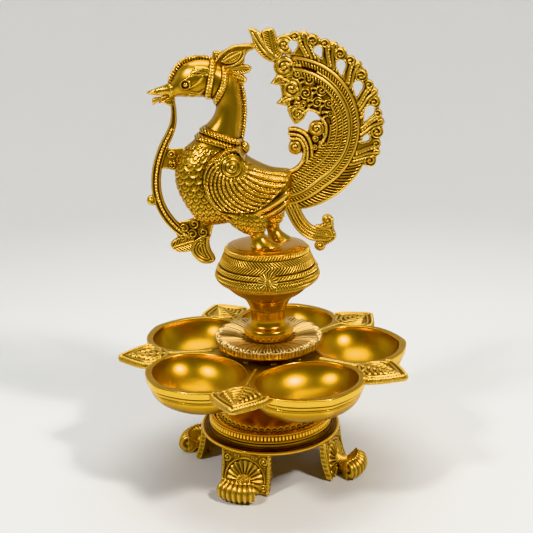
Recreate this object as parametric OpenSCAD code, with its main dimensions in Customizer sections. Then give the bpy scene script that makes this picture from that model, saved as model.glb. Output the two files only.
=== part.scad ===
// Standing oil lamp: footed base, five-cup wick tray, turned stem and a bird finial.
// Millimetres, +Z up. The origin is on the floor, on the lamp's upright axis.
// The lamp is seen from its front along +Y, and the bird looks towards -X.

/* [Base] */
// Radius of the base plate's flange
flange_r = 49.3; // [44:0.1:54]
// Height of the base plate's underside above the floor
base_z = 28; // [26:0.5:32]
// Radius of the raised ring that holds the dome
ring_r = 43.4; // [42:0.1:44]
// Height of the dome's top, where the tray's hub rests
dome_top_z = 66; // [62:0.5:68]

/* [Feet] */
// Turn of the first foot away from the front
foot_turn = -21.7; // [-45:0.1:45]
// Width of a foot's plate
foot_w = 36; // [28:1:40]
// Distance of the toe's roll from the axis
toe_r = 64.5; // [60:0.5:66]
// Radius of the toe's roll
toe_roll = 7; // [5:0.5:8]

/* [Wick tray] */
// Turn of the first leaf tab away from the front
tray_turn = -13; // [-36:0.5:36]
// Height of the cups' rims
rim_z = 86.6; // [85:0.1:88]
// Distance of a cup's middle from the axis
cup_mid = 62; // [61:0.5:64]
// Half the cup's length along its spout
cup_a = 29; // [27:0.5:29]
// Half the cup's width across its spout
cup_b = 34.5; // [32:0.5:35]
// Depth of a cup inside
cup_depth = 21.5; // [14:0.5:22]
// Distance of a leaf tab's tip from the axis
tab_tip_r = 105; // [100:1:108]

/* [Collar and stem] */
// Radius of the lotus collar
collar_r = 36.9; // [34:0.1:38]
// Height of the collar's underside, on top of the tray's hub
collar_z = 90.6; // [90:0.1:91]
// Height of the stem's foot, on the collar
stem_z = 95; // [94.5:0.1:96]
// Height of the joint between stem and pedestal
joint_z = 128; // [126:0.5:130]

/* [Pedestal] */
// Largest radius of the pedestal
drum_r = 35.4; // [32:0.1:37]
// Height of the pedestal's widest edge
drum_edge_z = 141.5; // [139:0.5:144]
// Height of the pedestal's upper rim
drum_top_z = 160; // [158:0.5:162]
// Radius of the pedestal's upper rim
drum_top_r = 27.4; // [25:0.1:30]

/* [Bird] */
// Height of the flat that the bird stands on
perch_z = 163.5; // [163:0.1:164]
// Thickness of the cast garland under the beak
garland_t = 5; // [3:0.5:7]
// Thickness of the crest
crest_t = 5; // [3:0.5:7]

/* [Tail] */
// Thickness of the tail's openwork
tail_t = 5; // [4:0.5:7]
// Radius of the tail's outermost beaded strand
strand_r = 43.2; // [42:0.1:44]
// Step between two flames along the tail's edge
flame_step = 19.5; // [18:0.5:21]
// Number of flames along the tail's edge
flames = 6; // [4:1:6]

/* [Fasteners] */
// Radius of the tie rod that holds base, tray and stem together
rod_r = 4; // [3:0.5:5]
// Radius of the stud that holds the finial
stud_r = 3; // [2.5:0.5:4]
// Radial clearance of a turning fit
run_gap = 0.05; // [0.02:0.01:0.08]

/* [Hidden] */
$fn = 64;

brass = "goldenrod";
dark_brass = "darkgoldenrod";
steel = "silver";
feet = 4;
cups = 5;                               // oil cups, with a leaf tab between each two
plate_t = 4;                            // thickness of the base plate's web
plate_top = base_z + plate_t;
dome_r = ring_r - 3.6;
washer_t = 1.6;                         // the washer under the base
nut_t = 6.5;
seal_t = 1;                             // the thin washers in the two screwed joints
rod_bore = rod_r + run_gap;
stud_bore = stud_r + run_gap;
rod_low = base_z - washer_t - nut_t - 2;
rod_high = stem_z + 11;
stud_low = joint_z - 10.5;
stud_high = drum_top_z + 2.6;
hub_r = 14;
web_top = rim_z - 0.6;                  // the leaf tabs lie a little below the rims
web_t = 3;
screw_at = 33;                          // where a foot's screw stands
lug_t = 3.5;
tail_c = [16, 241];                     // centre of the tail's arcs, as [x, z]
tail_root = -95;                        // the tail's arcs start inside the bird's back
strand_end = 84;
tail_edge = 48;                         // where the openwork leaves the strands
fringe_r = 55.5;
curl_r = 58.5;

// Points of an arc in a plane, from angle a0 to a1 in n steps
function arc(c, r, a0, a1, n) =
    [for (i = [0:n]) let (a = a0 + (a1 - a0) * i / n) [c[0] + r * cos(a), c[1] + r * sin(a)]];
function backwards(list) = [for (i = [len(list) - 1:-1:0]) list[i]];
function ring_sector(c, r0, r1, a0, a1, n) = concat(arc(c, r1, a0, a1, n), backwards(arc(c, r0, a0, a1, n)));

// Stands a flat outline up in the bird's plane: outline x stays x, outline y becomes z
module upright(thickness) {
    rotate([90, 0, 0])
        linear_extrude(thickness, center = true)
            children();
}

// ---------------------------------------------------------------- base

module base_plate() {
    lip_z = base_z + 2.2;
    band_z = base_z + 6.5;
    ring_z = base_z + 12;
    color(brass)
    difference() {
        rotate_extrude()
            polygon([[rod_r + 0.2, base_z], [flange_r - 0.3, base_z], [flange_r, base_z + 0.4],
                     [flange_r, lip_z - 0.3], [flange_r - 0.6, lip_z], [flange_r - 2.5, lip_z + 0.3],
                     [flange_r - 4.5, lip_z + 1.6], [ring_r, band_z - 0.6], [ring_r + 0.2, band_z],
                     [ring_r - 0.3, ring_z - 0.6], [ring_r - 1, ring_z], [ring_r - 2.6, ring_z],
                     [dome_r + 0.1, ring_z - 1.2], [dome_r + 0.1, plate_top], [rod_r + 0.2, plate_top]]);
        for (k = [0:feet - 1])
            rotate([0, 0, foot_turn + 90 * k - 90])
                translate([screw_at, 0, base_z - 1])
                    cylinder(r = 2, h = 4.2);
    }
}

// The hollow dome that carries the tray: an ogee, 2.6 thick, with a bored top
module base_dome() {
    wall = 2.6;
    outer = [[dome_r, plate_top], [dome_r, plate_top + 4.5], [37.5, 39.5], [33.5, 43.8], [28, 48],
             [22.5, 52.2], [18.5, 56.5], [16.6, 60.5], [16, dome_top_z]];
    inner = [[rod_r + 0.2, dome_top_z], [rod_r + 0.2, dome_top_z - 5], [16 - wall, dome_top_z - 5],
             [16.6 - wall, 59], [18.5 - wall, 54.6], [22.5 - wall, 49.8], [28 - wall, 45.6],
             [33.5 - wall, 41.3], [dome_r - wall, 36], [dome_r - wall, plate_top]];
    color(brass)
    rotate_extrude()
        polygon(concat(outer, inner));
}

// A scroll foot: a leaning plate with a lug under the base and a rolled toe
module foot(k) {
    toe_w = 24;
    lug_w = 24;
    color(dark_brass)
    rotate([0, 0, foot_turn + 90 * k - 90])
    difference() {
        union() {
            upright(foot_w)
                polygon([[41, base_z], [47, base_z], [47.6, 20], [49.6, 10], [53, 1.5], [49, 1.5],
                         [45, 10], [43.2, 20], [42.6, base_z - lug_t], [41, base_z - lug_t]]);
            upright(lug_w)
                polygon([[27, base_z - lug_t], [42, base_z - lug_t], [42, base_z], [27, base_z]]);
            upright(toe_w)
                polygon([[48, 16], [52, 14.6], [56, 11], [toe_r, 2 * toe_roll - 2], [toe_r, 0], [51, 0],
                         [48, 3]]);
            upright(toe_w)
                translate([toe_r, toe_roll])
                    circle(r = toe_roll);
        }
        translate([screw_at, 0, base_z - lug_t - 1])
            cylinder(r = 2.1, h = lug_t + 2);
    }
}
module foot_1() { foot(0); }
module foot_2() { foot(1); }
module foot_3() { foot(2); }
module foot_4() { foot(3); }

// One screw up through each foot's lug into the base plate
module foot_screws() {
    color(steel)
    for (k = [0:feet - 1])
        rotate([0, 0, foot_turn + 90 * k - 90])
            translate([screw_at, 0, 0])
                rotate_extrude()
                    polygon([[0, base_z - lug_t - 2.2], [2.6, base_z - lug_t - 2.2],
                             [3.6, base_z - lug_t - 1.2], [3.6, base_z - lug_t], [1.98, base_z - lug_t],
                             [1.98, base_z + 2.9], [0, base_z + 2.9]]);
}

module tie_rod() {
    color(steel)
    rotate_extrude()
        polygon([[0, rod_low], [rod_r - 0.6, rod_low], [rod_r, rod_low + 0.6], [rod_r, rod_high - 0.6],
                 [rod_r - 0.6, rod_high], [0, rod_high]]);
}

module base_washer() {
    color(steel)
    translate([0, 0, base_z - washer_t])
        difference() {
            cylinder(r = 9, h = washer_t);
            translate([0, 0, -1])
                cylinder(r = rod_r + 0.2, h = washer_t + 2);
        }
}

module base_nut() {
    color(steel)
    translate([0, 0, base_z - washer_t - nut_t])
        difference() {
            cylinder(r = 7.5, h = nut_t, $fn = 6);
            translate([0, 0, -1])
                cylinder(r = rod_r + 0.02, h = nut_t + 2);
        }
}

// ---------------------------------------------------------------- wick tray

cup_sides = 28;
rim_w = 4.4;                            // width of a cup's flat rim
rim_t = 4;
slice_t = 0.01;

// A cup's outline in the tray's plane, x along the spout. s scales it about the cup's middle, and
// grow widens it and opens it most at the spout.
function cup_point(t, s, grow) =
    let (spout = exp(-pow((t > 180 ? t - 360 : t) / 24, 2)))
    [cup_mid + s * ((cup_a + grow) * cos(t) + (2 + 0.5 * grow) * spout), s * (cup_b + grow) * sin(t)];

module cup_outline(s, grow) {
    polygon([for (i = [0:cup_sides - 1]) cup_point(360 * i / cup_sides, s, grow)]);
}

// A bowl's convex body through its levels. An entry is [scale, grow, z].
module bowl(levels) {
    hull()
        for (level = levels)
            translate([0, 0, level[2]])
                linear_extrude(slice_t)
                    cup_outline(level[0], level[1]);
}

module cup_outside() {
    floor_z = rim_z - cup_depth;
    bowl([[0.3, 0, floor_z - 2.6], [0.72, 0.5, floor_z + 0.6], [0.9, 1.5, floor_z + 6], [0.98, 2.2, rim_z - 8],
          [1, 2.4, rim_z - slice_t]]);
    translate([0, 0, rim_z - rim_t])
        linear_extrude(rim_t)
            cup_outline(1, rim_w);
}

module cup_inside() {
    floor_z = rim_z - cup_depth;
    bowl([[0.3, 0, floor_z], [0.64, 0, floor_z + 2.2], [0.86, 0, floor_z + 7.6], [0.97, 0, rim_z - 7], [1, 0, rim_z],
          [1, 0, rim_z + 1]]);
}

// A leaf tab, pointed at the tip, with its root between two cups
module leaf_tab() {
    linear_extrude(web_t)
        polygon([[40, -8], [70, -15], [86, -20], [93, -14.5], [99, -7.5], [tab_tip_r, -1.5],
                 [tab_tip_r, 1.5], [99, 7.5], [93, 14.5], [86, 20], [70, 15], [40, 8]]);
}

// The tray's casting: a web with the cups let into it and a leaf tab between each two
module wick_tray() {
    color(brass)
    difference() {
        union() {
            translate([0, 0, web_top - web_t])
                cylinder(r = 46, h = web_t);
            for (k = [0:cups - 1])
                rotate([0, 0, tray_turn - 90 + k * 360 / cups])
                    translate([0, 0, web_top - web_t])
                        leaf_tab();
            for (k = [0:cups - 1])
                rotate([0, 0, tray_turn - 90 + (k + 0.5) * 360 / cups])
                    cup_outside();
        }
        for (k = [0:cups - 1])
            rotate([0, 0, tray_turn - 90 + (k + 0.5) * 360 / cups])
                cup_inside();
        translate([0, 0, web_top - web_t - 1])
            cylinder(r = hub_r, h = web_t + 2);
    }
}

// The bored hub that is pressed into the tray and turns on the tie rod
module tray_hub() {
    color(brass)
    translate([0, 0, dome_top_z])
        difference() {
            cylinder(r = hub_r, h = collar_z - dome_top_z);
            translate([0, 0, -1])
                cylinder(r = rod_bore, h = collar_z - dome_top_z + 2);
        }
}

// The dished collar with its lotus edge
module lotus_collar() {
    top_z = collar_z + 7;
    color(dark_brass)
    rotate_extrude()
        polygon([[rod_bore, collar_z], [16, collar_z], [18, collar_z + 2.2], [32.5, collar_z + 3.2],
                 [33.4, collar_z + 0.3], [collar_r - 1.2, collar_z + 0.6], [collar_r, collar_z + 2.5],
                 [collar_r, top_z - 0.6], [collar_r - 0.6, top_z], [collar_r - 3, top_z],
                 [20, stem_z + 0.5], [17.6, stem_z], [rod_bore, stem_z]]);
}

// ---------------------------------------------------------------- stem and pedestal

// A thin ring let into the underside of the piece above a screwed joint
module seal_ring(hole_r, z) {
    color("tan")
    translate([0, 0, z])
        difference() {
            cylinder(r = 8, h = seal_t);
            translate([0, 0, -1])
                cylinder(r = hole_r, h = seal_t + 2);
        }
}
module stem_washer() { seal_ring(rod_bore, stem_z); }
module finial_washer() { seal_ring(stud_bore, joint_z); }

// The turned stem: a ring foot, a waist and a flared head, bored from both ends
module stem() {
    color(brass)
    difference() {
        rotate_extrude()
            polygon([[0, stem_z], [13.6, stem_z], [15.8, 96.6], [17, 99], [17.1, 101.6], [16.4, 103.6],
                     [14, 105.2], [12.2, 107], [11.6, 109.6], [11.9, 113.9], [12.6, 117], [13.6, 119.6],
                     [15.4, 123.2], [18, 126], [21.4, joint_z], [0, joint_z]]);
        translate([0, 0, stem_z - 1])
            cylinder(r = rod_bore, h = rod_high - stem_z + 1.6);
        translate([0, 0, stem_z - 1])
            cylinder(r = 8 + run_gap, h = seal_t + 1);
        translate([0, 0, stud_low - 0.6])
            cylinder(r = stud_bore, h = joint_z - stud_low + 2);
    }
}

module finial_stud() {
    color(steel)
    rotate_extrude()
        polygon([[0, stud_low], [stud_r - 0.5, stud_low], [stud_r, stud_low + 0.5], [stud_r, stud_high],
                 [0, stud_high]]);
}

// The hollow pedestal, open at the top, where the perch closes it
module pedestal_drum() {
    wall = 2.8;
    color(brass)
    difference() {
        rotate_extrude()
            polygon([[stud_bore, joint_z], [21.4, joint_z], [23.6, 129.6], [drum_r - 0.8, drum_edge_z - 1],
                     [drum_r, drum_edge_z], [drum_r - 0.2, drum_edge_z + 1.2], [31.6, 150.6],
                     [drum_top_r, drum_top_z], [drum_top_r - wall, drum_top_z], [31.6 - wall, 150.6],
                     [drum_r - wall, drum_edge_z + 1], [22, 132.6], [stud_bore, 132.6]]);
        translate([0, 0, joint_z - 1])
            cylinder(r = 8 + run_gap, h = seal_t + 1);
    }
}

// The turned top of the pedestal, with a flat that the bird's feet stand on
module perch_cap() {
    color(brass)
    difference() {
        rotate_extrude()
            polygon([[0, drum_top_z], [drum_top_r - 0.1, drum_top_z], [drum_top_r, drum_top_z + 0.5],
                     [drum_top_r - 0.4, drum_top_z + 1], [24, perch_z - 1.2], [21, perch_z], [0, perch_z]]);
        translate([0, 0, drum_top_z - 1])
            cylinder(r = stud_bore, h = stud_high - drum_top_z + 1.2);
    }
}

// ---------------------------------------------------------------- bird

ball_sides = 14;

// A ball of three radii, standing at [x, y, z]
module ball(at, radii) {
    translate(at)
        scale(radii)
            sphere(r = 1, $fn = ball_sides);
}

// Joins each ball of the list to the next. An entry is [x, y, z, rx, ry, rz].
module chain(balls) {
    for (i = [0:len(balls) - 2])
        hull()
            for (b = [balls[i], balls[i + 1]])
                ball([b[0], b[1], b[2]], [b[3], b[4], b[5]]);
}

torso = [[-50, 0, 208, 9, 9, 14], [-42, 0, 206, 13, 15, 25], [-29, 0, 205, 15, 18, 27],
         [-14, 0, 204, 14, 17, 22], [0, 0, 200, 12, 13, 16], [11, 0, 199, 7, 8, 13]];
neck = [[-30, 0, 230, 15, 13, 8], [-26, 0, 241, 13, 10, 6], [-21.6, 0, 252, 10, 8.5, 6],
        [-22, 0, 262, 10, 8.5, 7], [-25, 0, 273, 11, 8.5, 8], [-37, 0, 276, 12, 9, 12],
        [-48, 0, 273.5, 12, 9, 10.5]];
beak_upper = [[-58, 0, 267.5, 3, 5, 4], [-66, 0, 266, 3, 3, 2.4], [-74, 0, 265.6, 1.6, 1.4, 1]];
beak_lower = [[-59, 0, 262, 2.5, 3.5, 2.5], [-67.6, 0, 260.4, 1.2, 1.4, 1.4]];

// A leg from the thigh to the foot's flat underside
module leg(x, y, thigh_z, foot_x, foot_len) {
    chain([[x, y, thigh_z, 10, 7, 9], [x + 1, y, thigh_z - 9, 5.5, 5, 4], [x + 1, y, 171, 4.4, 4, 3]]);
    hull() {
        ball([x + 1, y, 171], [4.4, 4, 3]);
        translate([foot_x, y, perch_z])
            scale([foot_len, 6.5, 1])
                cylinder(r = 1, h = 1, $fn = ball_sides);
    }
}

module bird_body() {
    color(brass)
    union() {
        chain(torso);
        chain(neck);
        chain(beak_upper);
        chain(beak_lower);
        leg(-7.5, -9, 185, -4, 10);
        leg(3.5, 9, 187, 6, 11);
    }
}

// The plume from the back of the head to the tail's tip
module crest_plume() {
    color(dark_brass)
    upright(crest_t)
        polygon([[-34, 284], [-32.5, 288.5], [-31.8, 292.4], [-27, 291.6], [-22.5, 291.4], [-19.5, 294.2],
                 [-14.6, 295.4], [-6.2, 295.6], [-6.2, 292], [-9.7, 290], [-12, 285.6], [-12.4, 282.8],
                 [-8.3, 282], [-7.3, 280], [-9.8, 277], [-11.4, 273], [-13.6, 270.6], [-20, 276], [-28, 280]]);
}

// The cast garland that hangs from the beak, past a knop, to the tassels under the breast
module beak_garland() {
    right_side = [[-61, 262], [-56.6, 262], [-56.2, 254], [-57.1, 247], [-60, 238], [-61.7, 231],
                  [-61.5, 228.3], [-50, 228], [-50, 213.5], [-59.6, 213.2], [-66, 215], [-67.5, 212],
                  [-67.6, 206], [-65.6, 196], [-61.2, 188], [-55.8, 181.6], [-51, 178.6], [-43, 183],
                  [-33, 183], [-36, 173.4], [-37, 168.4], [-36, 160], [-33.2, 153.5], [-36.2, 149.3],
                  [-42, 149.4], [-46.6, 152.6], [-49.4, 158], [-56, 157.6], [-60.4, 159.6],
                  [-62.6, 162.8], [-60.2, 166], [-56.9, 168.2], [-60, 171.4], [-64.8, 176.5],
                  [-69.2, 184.6]];
    knop = arc([-75.2, 194.5], 3.6, -40, -283, 10);
    left_side = [[-74.2, 204.3], [-73.1, 212.3], [-71.5, 220.2], [-69.4, 227.3], [-66, 234.2],
                 [-62.3, 241.2], [-60.1, 247.4], [-59.6, 255.8]];
    color(dark_brass)
    upright(garland_t)
        polygon(concat(right_side, knop, left_side));
}

// ---------------------------------------------------------------- tail

// A flame of the tail's edge: a stalk that ends in two curls
module flame(angle) {
    stalk = [for (p = [[tail_edge - 2, -4], [tail_edge - 2, 4], [curl_r, 7.6], [curl_r, -7.6]])
             let (a = angle + p[1]) [tail_c[0] + p[0] * cos(a), tail_c[1] + p[0] * sin(a)]];
    polygon(stalk);
    for (side = [-1, 1])
        translate([tail_c[0] + curl_r * cos(angle + 4.6 * side), tail_c[1] + curl_r * sin(angle + 4.6 * side)])
            circle(r = 3.9);
}

module tail_outline() {
    first_flame = -17;
    polygon(ring_sector(tail_c, 28, tail_edge, tail_root, -20, 12));
    polygon(ring_sector(tail_c, 33, tail_edge, -24, 92, 20));
    polygon(ring_sector(tail_c, tail_edge - 1, fringe_r, tail_root, -23, 12));
    for (i = [0:flames - 1])
        flame(first_flame + i * flame_step);
    // the leaf at the tail's tip, which meets the crest
    polygon([[-9, 305], [-6.1, 305.7], [-3.2, 304.5], [-0.6, 302.9], [2, 304.4], [4.2, 305.3], [7.1, 304.9],
             [9.3, 300.3], [13, 300], [16, 288], [9, 284], [6.4, 283.2], [1.5, 285.3], [-1.4, 287.9],
             [-3.6, 290.3], [-6, 292], [-6, 298.5], [-7.6, 302.5]]);
    // the leaves and rosettes of the inner edge
    polygon([[16, 290], [8, 284], [6.9, 279.3], [7.8, 276], [5.2, 270.2], [11.2, 268.2], [12.1, 261.9],
             [8.9, 257.1], [14.9, 255], [17.4, 247.6], [20, 243.4], [25, 245.6], [28.4, 252], [33, 251.2],
             [40, 244], [52, 244], [50, 260], [34, 276], [18, 288]]);
    polygon([[17, 241.5], [28, 240], [31, 237], [44, 238], [40, 222], [25.7, 220], [26.4, 224.4],
             [20.6, 224.6], [16, 228], [16.6, 235]]);
    translate([13.7, 294.5])
        circle(r = 6.4);
}

module bird_tail() {
    rib = 1.2;
    color(dark_brass)
    union() {
        upright(tail_t)
            tail_outline();
        // the strands stand proud on both faces
        translate([tail_c[0], 0, tail_c[1]])
            rotate([90, -tail_root, 0])
                for (r = [36.5, strand_r])
                    rotate_extrude(angle = strand_end - tail_root)
                        translate([r - 2.2, -tail_t / 2 - rib])
                            square([4.4, tail_t + 2 * rib]);
    }
}

// The curled leaf under the tail's root
module under_tail_leaf() {
    color(dark_brass)
    upright(tail_t - 0.6)
        polygon([[15.2, 189], [15.2, 182.4], [17.6, 180.1], [21.1, 176], [24.2, 171.4], [28.1, 168],
                 [32, 165.3], [34.2, 163.7], [34, 161.2], [35.6, 158.2], [38, 157], [41.1, 157.8],
                 [43, 161], [45.7, 162.6], [49, 165], [49.8, 167.4], [48.7, 169.8], [47.5, 174.6],
                 [47, 179.6], [45, 181.7], [41.9, 181.4], [39.6, 178.8], [38.5, 175.8], [34.3, 175.7],
                 [31.1, 177.8], [28.4, 181], [26.4, 184.2], [26.2, 189]]);
}

base_plate();
base_dome();
foot_1();
foot_2();
foot_3();
foot_4();
foot_screws();
tie_rod();
base_washer();
base_nut();
wick_tray();
tray_hub();
lotus_collar();
stem_washer();
stem();
finial_washer();
finial_stud();
pedestal_drum();
perch_cap();
bird_body();
crest_plume();
beak_garland();
bird_tail();
under_tail_leaf();
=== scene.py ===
"""Looks of the standing oil lamp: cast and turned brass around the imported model.

Lengths are millimetres in the builders below and become metres in mesh_object. The bird and
its castings are drawn in the bird's plane, as (x, z), and have the same relief on both faces.
"""
import functools
import math

import bpy
import numpy as np
import openvdb
from mathutils import Matrix, Vector


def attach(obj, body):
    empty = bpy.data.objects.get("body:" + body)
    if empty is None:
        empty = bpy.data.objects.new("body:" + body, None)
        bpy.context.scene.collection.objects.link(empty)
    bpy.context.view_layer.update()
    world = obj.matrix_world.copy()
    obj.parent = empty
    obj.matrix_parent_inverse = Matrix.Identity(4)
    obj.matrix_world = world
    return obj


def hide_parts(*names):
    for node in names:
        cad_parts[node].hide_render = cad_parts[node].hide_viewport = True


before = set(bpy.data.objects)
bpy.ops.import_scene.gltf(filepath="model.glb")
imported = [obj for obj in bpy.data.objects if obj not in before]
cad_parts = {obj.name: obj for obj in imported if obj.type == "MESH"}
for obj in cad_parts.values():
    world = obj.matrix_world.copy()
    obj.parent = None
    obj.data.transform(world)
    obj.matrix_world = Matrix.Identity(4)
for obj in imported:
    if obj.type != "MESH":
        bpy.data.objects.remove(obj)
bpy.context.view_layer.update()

MM = 0.001

# ---------------------------------------------------------------- camera and stage

TARGET = Vector((-0.0005, 0.0, 0.146))
CAMERA_DISTANCE = 0.7036
CAMERA_ELEVATION = math.radians(16.85)
CAMERA_ROLL = math.radians(-1.2)
LENS = 69.51


def make_camera():
    """The photograph's view: a little from above, and rolled slightly."""
    data = bpy.data.cameras.new("camera")
    data.lens = LENS
    data.sensor_width = 36
    data.clip_start = 0.05
    cam = bpy.data.objects.new("camera", data)
    bpy.context.scene.collection.objects.link(cam)
    back = Vector((0, -math.cos(CAMERA_ELEVATION), math.sin(CAMERA_ELEVATION)))
    cam.location = TARGET + back * CAMERA_DISTANCE
    aim = (-back).to_track_quat("-Z", "Y").to_matrix().to_4x4()
    cam.matrix_world = Matrix.Translation(cam.location) @ aim @ Matrix.Rotation(CAMERA_ROLL, 4, "Z")
    bpy.context.scene.camera = cam


make_camera()

# ---------------------------------------------------------------- meshes


def mesh_object(name, points, faces):
    """A mesh object from points in millimetres and an array of quads or triangles."""
    points = np.asarray(points, np.float32) * MM
    faces = np.asarray(faces, np.int32)
    count, sides = faces.shape
    mesh = bpy.data.meshes.new(name)
    mesh.vertices.add(len(points))
    mesh.vertices.foreach_set("co", points.ravel())
    mesh.loops.add(count * sides)
    mesh.loops.foreach_set("vertex_index", faces.ravel())
    mesh.polygons.add(count)
    mesh.polygons.foreach_set("loop_start", np.arange(0, count * sides, sides, dtype=np.int32))
    mesh.update(calc_edges=True)
    mesh.polygons.foreach_set("use_smooth", np.full(count, True))
    obj = bpy.data.objects.new(name, mesh)
    bpy.context.scene.collection.objects.link(obj)
    return obj


def smoothed(points, edges, rounds):
    """Each point drawn towards the mean of its neighbours, some rounds."""
    count = len(points)
    degree = np.bincount(edges.ravel(), minlength=count).astype(float)
    for _ in range(rounds):
        total = np.empty_like(points)
        for axis in range(3):
            column = points[:, axis]
            total[:, axis] = (np.bincount(edges[:, 0], column[edges[:, 1]], count)
                              + np.bincount(edges[:, 1], column[edges[:, 0]], count))
        points = 0.4 * points + 0.6 * total / np.maximum(degree, 1)[:, None]
    return points


# a broad groove is a deep channel, which the brass shows with painted shade
BROAD_SHARE = 0.35          # how much a broad hollow counts beside a fine one


def mesh_values(items, name, width, kind):
    """A value of a mesh's vertices or edges, as an array with a row for each."""
    values = np.empty(len(items) * width, kind)
    items.foreach_get(name, values)
    return values.reshape(-1, width)


def mark_hollows(obj, rounds, full, patina_and_shading):
    """Stores how far each point lies in a groove, from 0 on a ridge to 1 in a groove.

    The brass darkens with it, partly as old polish and partly as painted shade in the grooves.
    full is the depth in millimetres, against the smoothed surface, that counts as a whole groove.
    patina(radius, height, up) changes it where the smoothing misses: old polish and painted shade in a
    broad channel, or painted light and shade by the skin's slope up, which is 1 where it faces up.
    """
    mesh = obj.data
    points = mesh_values(mesh.vertices, "co", 3, float)
    normals = mesh_values(mesh.vertices, "normal", 3, float)
    edges = mesh_values(mesh.edges, "vertices", 2, np.int32)
    fine = smoothed(points, edges, rounds)
    broad = smoothed(fine, edges, 3 * rounds)
    depth = np.einsum("ij,ij->i", fine - points, normals) / (full * MM)
    depth += BROAD_SHARE * np.einsum("ij,ij->i", broad - points, normals) / (full * MM)
    if patina_and_shading:
        depth += patina_and_shading(np.hypot(points[:, 0], points[:, 1]) / MM, points[:, 2] / MM, normals[:, 2])
    # the grooves' darker brass is old polish and painted shade
    hollow = clamp(0.5 + 0.5 * depth)
    layer = mesh.attributes.new("hollow", "FLOAT", "POINT")
    layer.data.foreach_set("value", hollow.astype(np.float32))


def finish_piece(obj, material, body, slot, *nodes, rounds=10, full=0.35, patina_and_shading=None):
    """Hollows, material, body and the CAD nodes that the piece stands for. slot is not used."""
    mark_hollows(obj, rounds, full, patina_and_shading)
    obj.data.materials.append(material)
    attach(obj, body)
    if nodes:
        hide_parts(*nodes)


def surface_of(field, low, step):
    """The surface where a sampled field is 0. The field is negative inside."""
    grid = openvdb.FloatGrid(1.0)
    grid.copyFromArray(np.ascontiguousarray(field, np.float32))
    points, _, quads = grid.convertToPolygons(isovalue=0.0, adaptivity=0.0)
    points = points.astype(float) * step + np.asarray(low, float)
    quads = quads.astype(np.int64)
    a, b, c, d = (points[quads[:, i]] for i in range(4))
    middle = (a + b + c + d) / 4
    volume = np.einsum("ij,ij->i", np.cross(c - a, d - b), middle).sum()
    return points, (quads if volume > 0 else quads[:, ::-1])


# ---------------------------------------------------------------- curves and outlines


def clamp(value):
    """A value held between 0 and 1."""
    return np.clip(value, 0, 1)


def overlap(*fields):
    """Where several fields overlap: the greatest of them."""
    return functools.reduce(np.maximum, fields)


def catmull_rom(a, b, c, d, t):
    """The place between b and c, at t from 0 to 1, on a smooth curve through four points."""
    return 0.5 * (2 * b + (c - a) * t + (2 * a - 5 * b + 4 * c - d) * t ** 2
                  + (3 * b - a - 3 * c + d) * t ** 3)


def smooth_path(points, per=6, closed=False):
    """Points along a smooth curve through given points, per of them for each span."""
    p = np.asarray(points, float)
    if closed:
        p = np.vstack([p[-1:], p, p[:2]])
    else:
        p = np.vstack([2 * p[0] - p[1], p, 2 * p[-1] - p[-2]])
    t = (np.arange(per) / per)[:, None]
    parts = []
    for i in range(1, len(p) - 2):
        parts.append(catmull_rom(*p[i - 1:i + 3], t))
    if not closed:
        parts.append(p[-2:-1])
    return np.vstack(parts)


def loop(points, per=4):
    """A smooth closed outline."""
    return smooth_path(points, per, closed=True)


def eased(amount, share):
    """A part of an amount, which grows with a share from 0 to 1 and starts and ends gently."""
    return amount * share * share * (3 - 2 * share)


def about_axis(points, degrees):
    """Points turned about the lamp's axis."""
    a = math.radians(degrees)
    x, y = points[..., 0], points[..., 1]
    return np.stack([
        x * math.cos(a) - y * math.sin(a), x * math.sin(a) + y * math.cos(a), points[..., 2]], -1)


def inside_distance(x, z, outline):
    """Distance to a closed outline, positive inside and negative outside."""
    best = np.full(x.shape, 1e9)
    odd = np.zeros(x.shape, bool)
    n = len(outline)
    for i in range(n):
        (ax, az), (bx, bz) = outline[i], outline[(i + 1) % n]
        dx, dz = bx - ax, bz - az
        length = dx * dx + dz * dz
        if length < 1e-12:
            continue
        t = clamp(((x - ax) * dx + (z - az) * dz) / length)
        best = np.minimum(best, (x - ax - t * dx) ** 2 + (z - az - t * dz) ** 2)
        if az != bz:
            odd ^= ((az > z) != (bz > z)) & (x < (bx - ax) * (z - az) / (bz - az) + ax)
    distance = np.sqrt(best)
    return np.where(odd, distance, -distance)


def along(x, z, path):
    """For each place, its signed distance from an open path and how far along it lies."""
    best = np.full(x.shape, 1e9)
    side = np.zeros(x.shape)
    travel = np.zeros(x.shape)
    gone = 0.0
    for (ax, az), (bx, bz) in zip(path[:-1], path[1:]):
        dx, dz = bx - ax, bz - az
        length = math.hypot(dx, dz)
        if length < 1e-9:
            continue
        t = clamp(((x - ax) * dx + (z - az) * dz) / length ** 2)
        ex, ez = x - ax - t * dx, z - az - t * dz
        d = np.hypot(ex, ez)
        near = d < best
        best = np.where(near, d, best)
        side = np.where(near, np.where(dx * ez - dz * ex >= 0, d, -d), side)
        travel = np.where(near, gone + t * length, travel)
        gone += length
    return side, travel


# ---------------------------------------------------------------- relief patterns


def dome(share):
    """A round section's height, 1 in the middle and 0 where share reaches 1 or -1."""
    return np.sqrt(clamp(1 - share ** 2))


def bump(value, middle, width):
    """A soft ridge: 1 at middle, and near 0 from two widths away."""
    return np.exp(-((value - middle) / width) ** 2)


def beads(travel, pitch):
    """A row of round beads: 1 on a bead and 0 between two."""
    return dome((np.mod(travel, pitch) / pitch * 2 - 1) * 0.98)


def wave(value, pitch):
    """Even ripples, from 0 to 1."""
    return 0.5 + 0.5 * np.cos(2 * math.pi * value / pitch)


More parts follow.
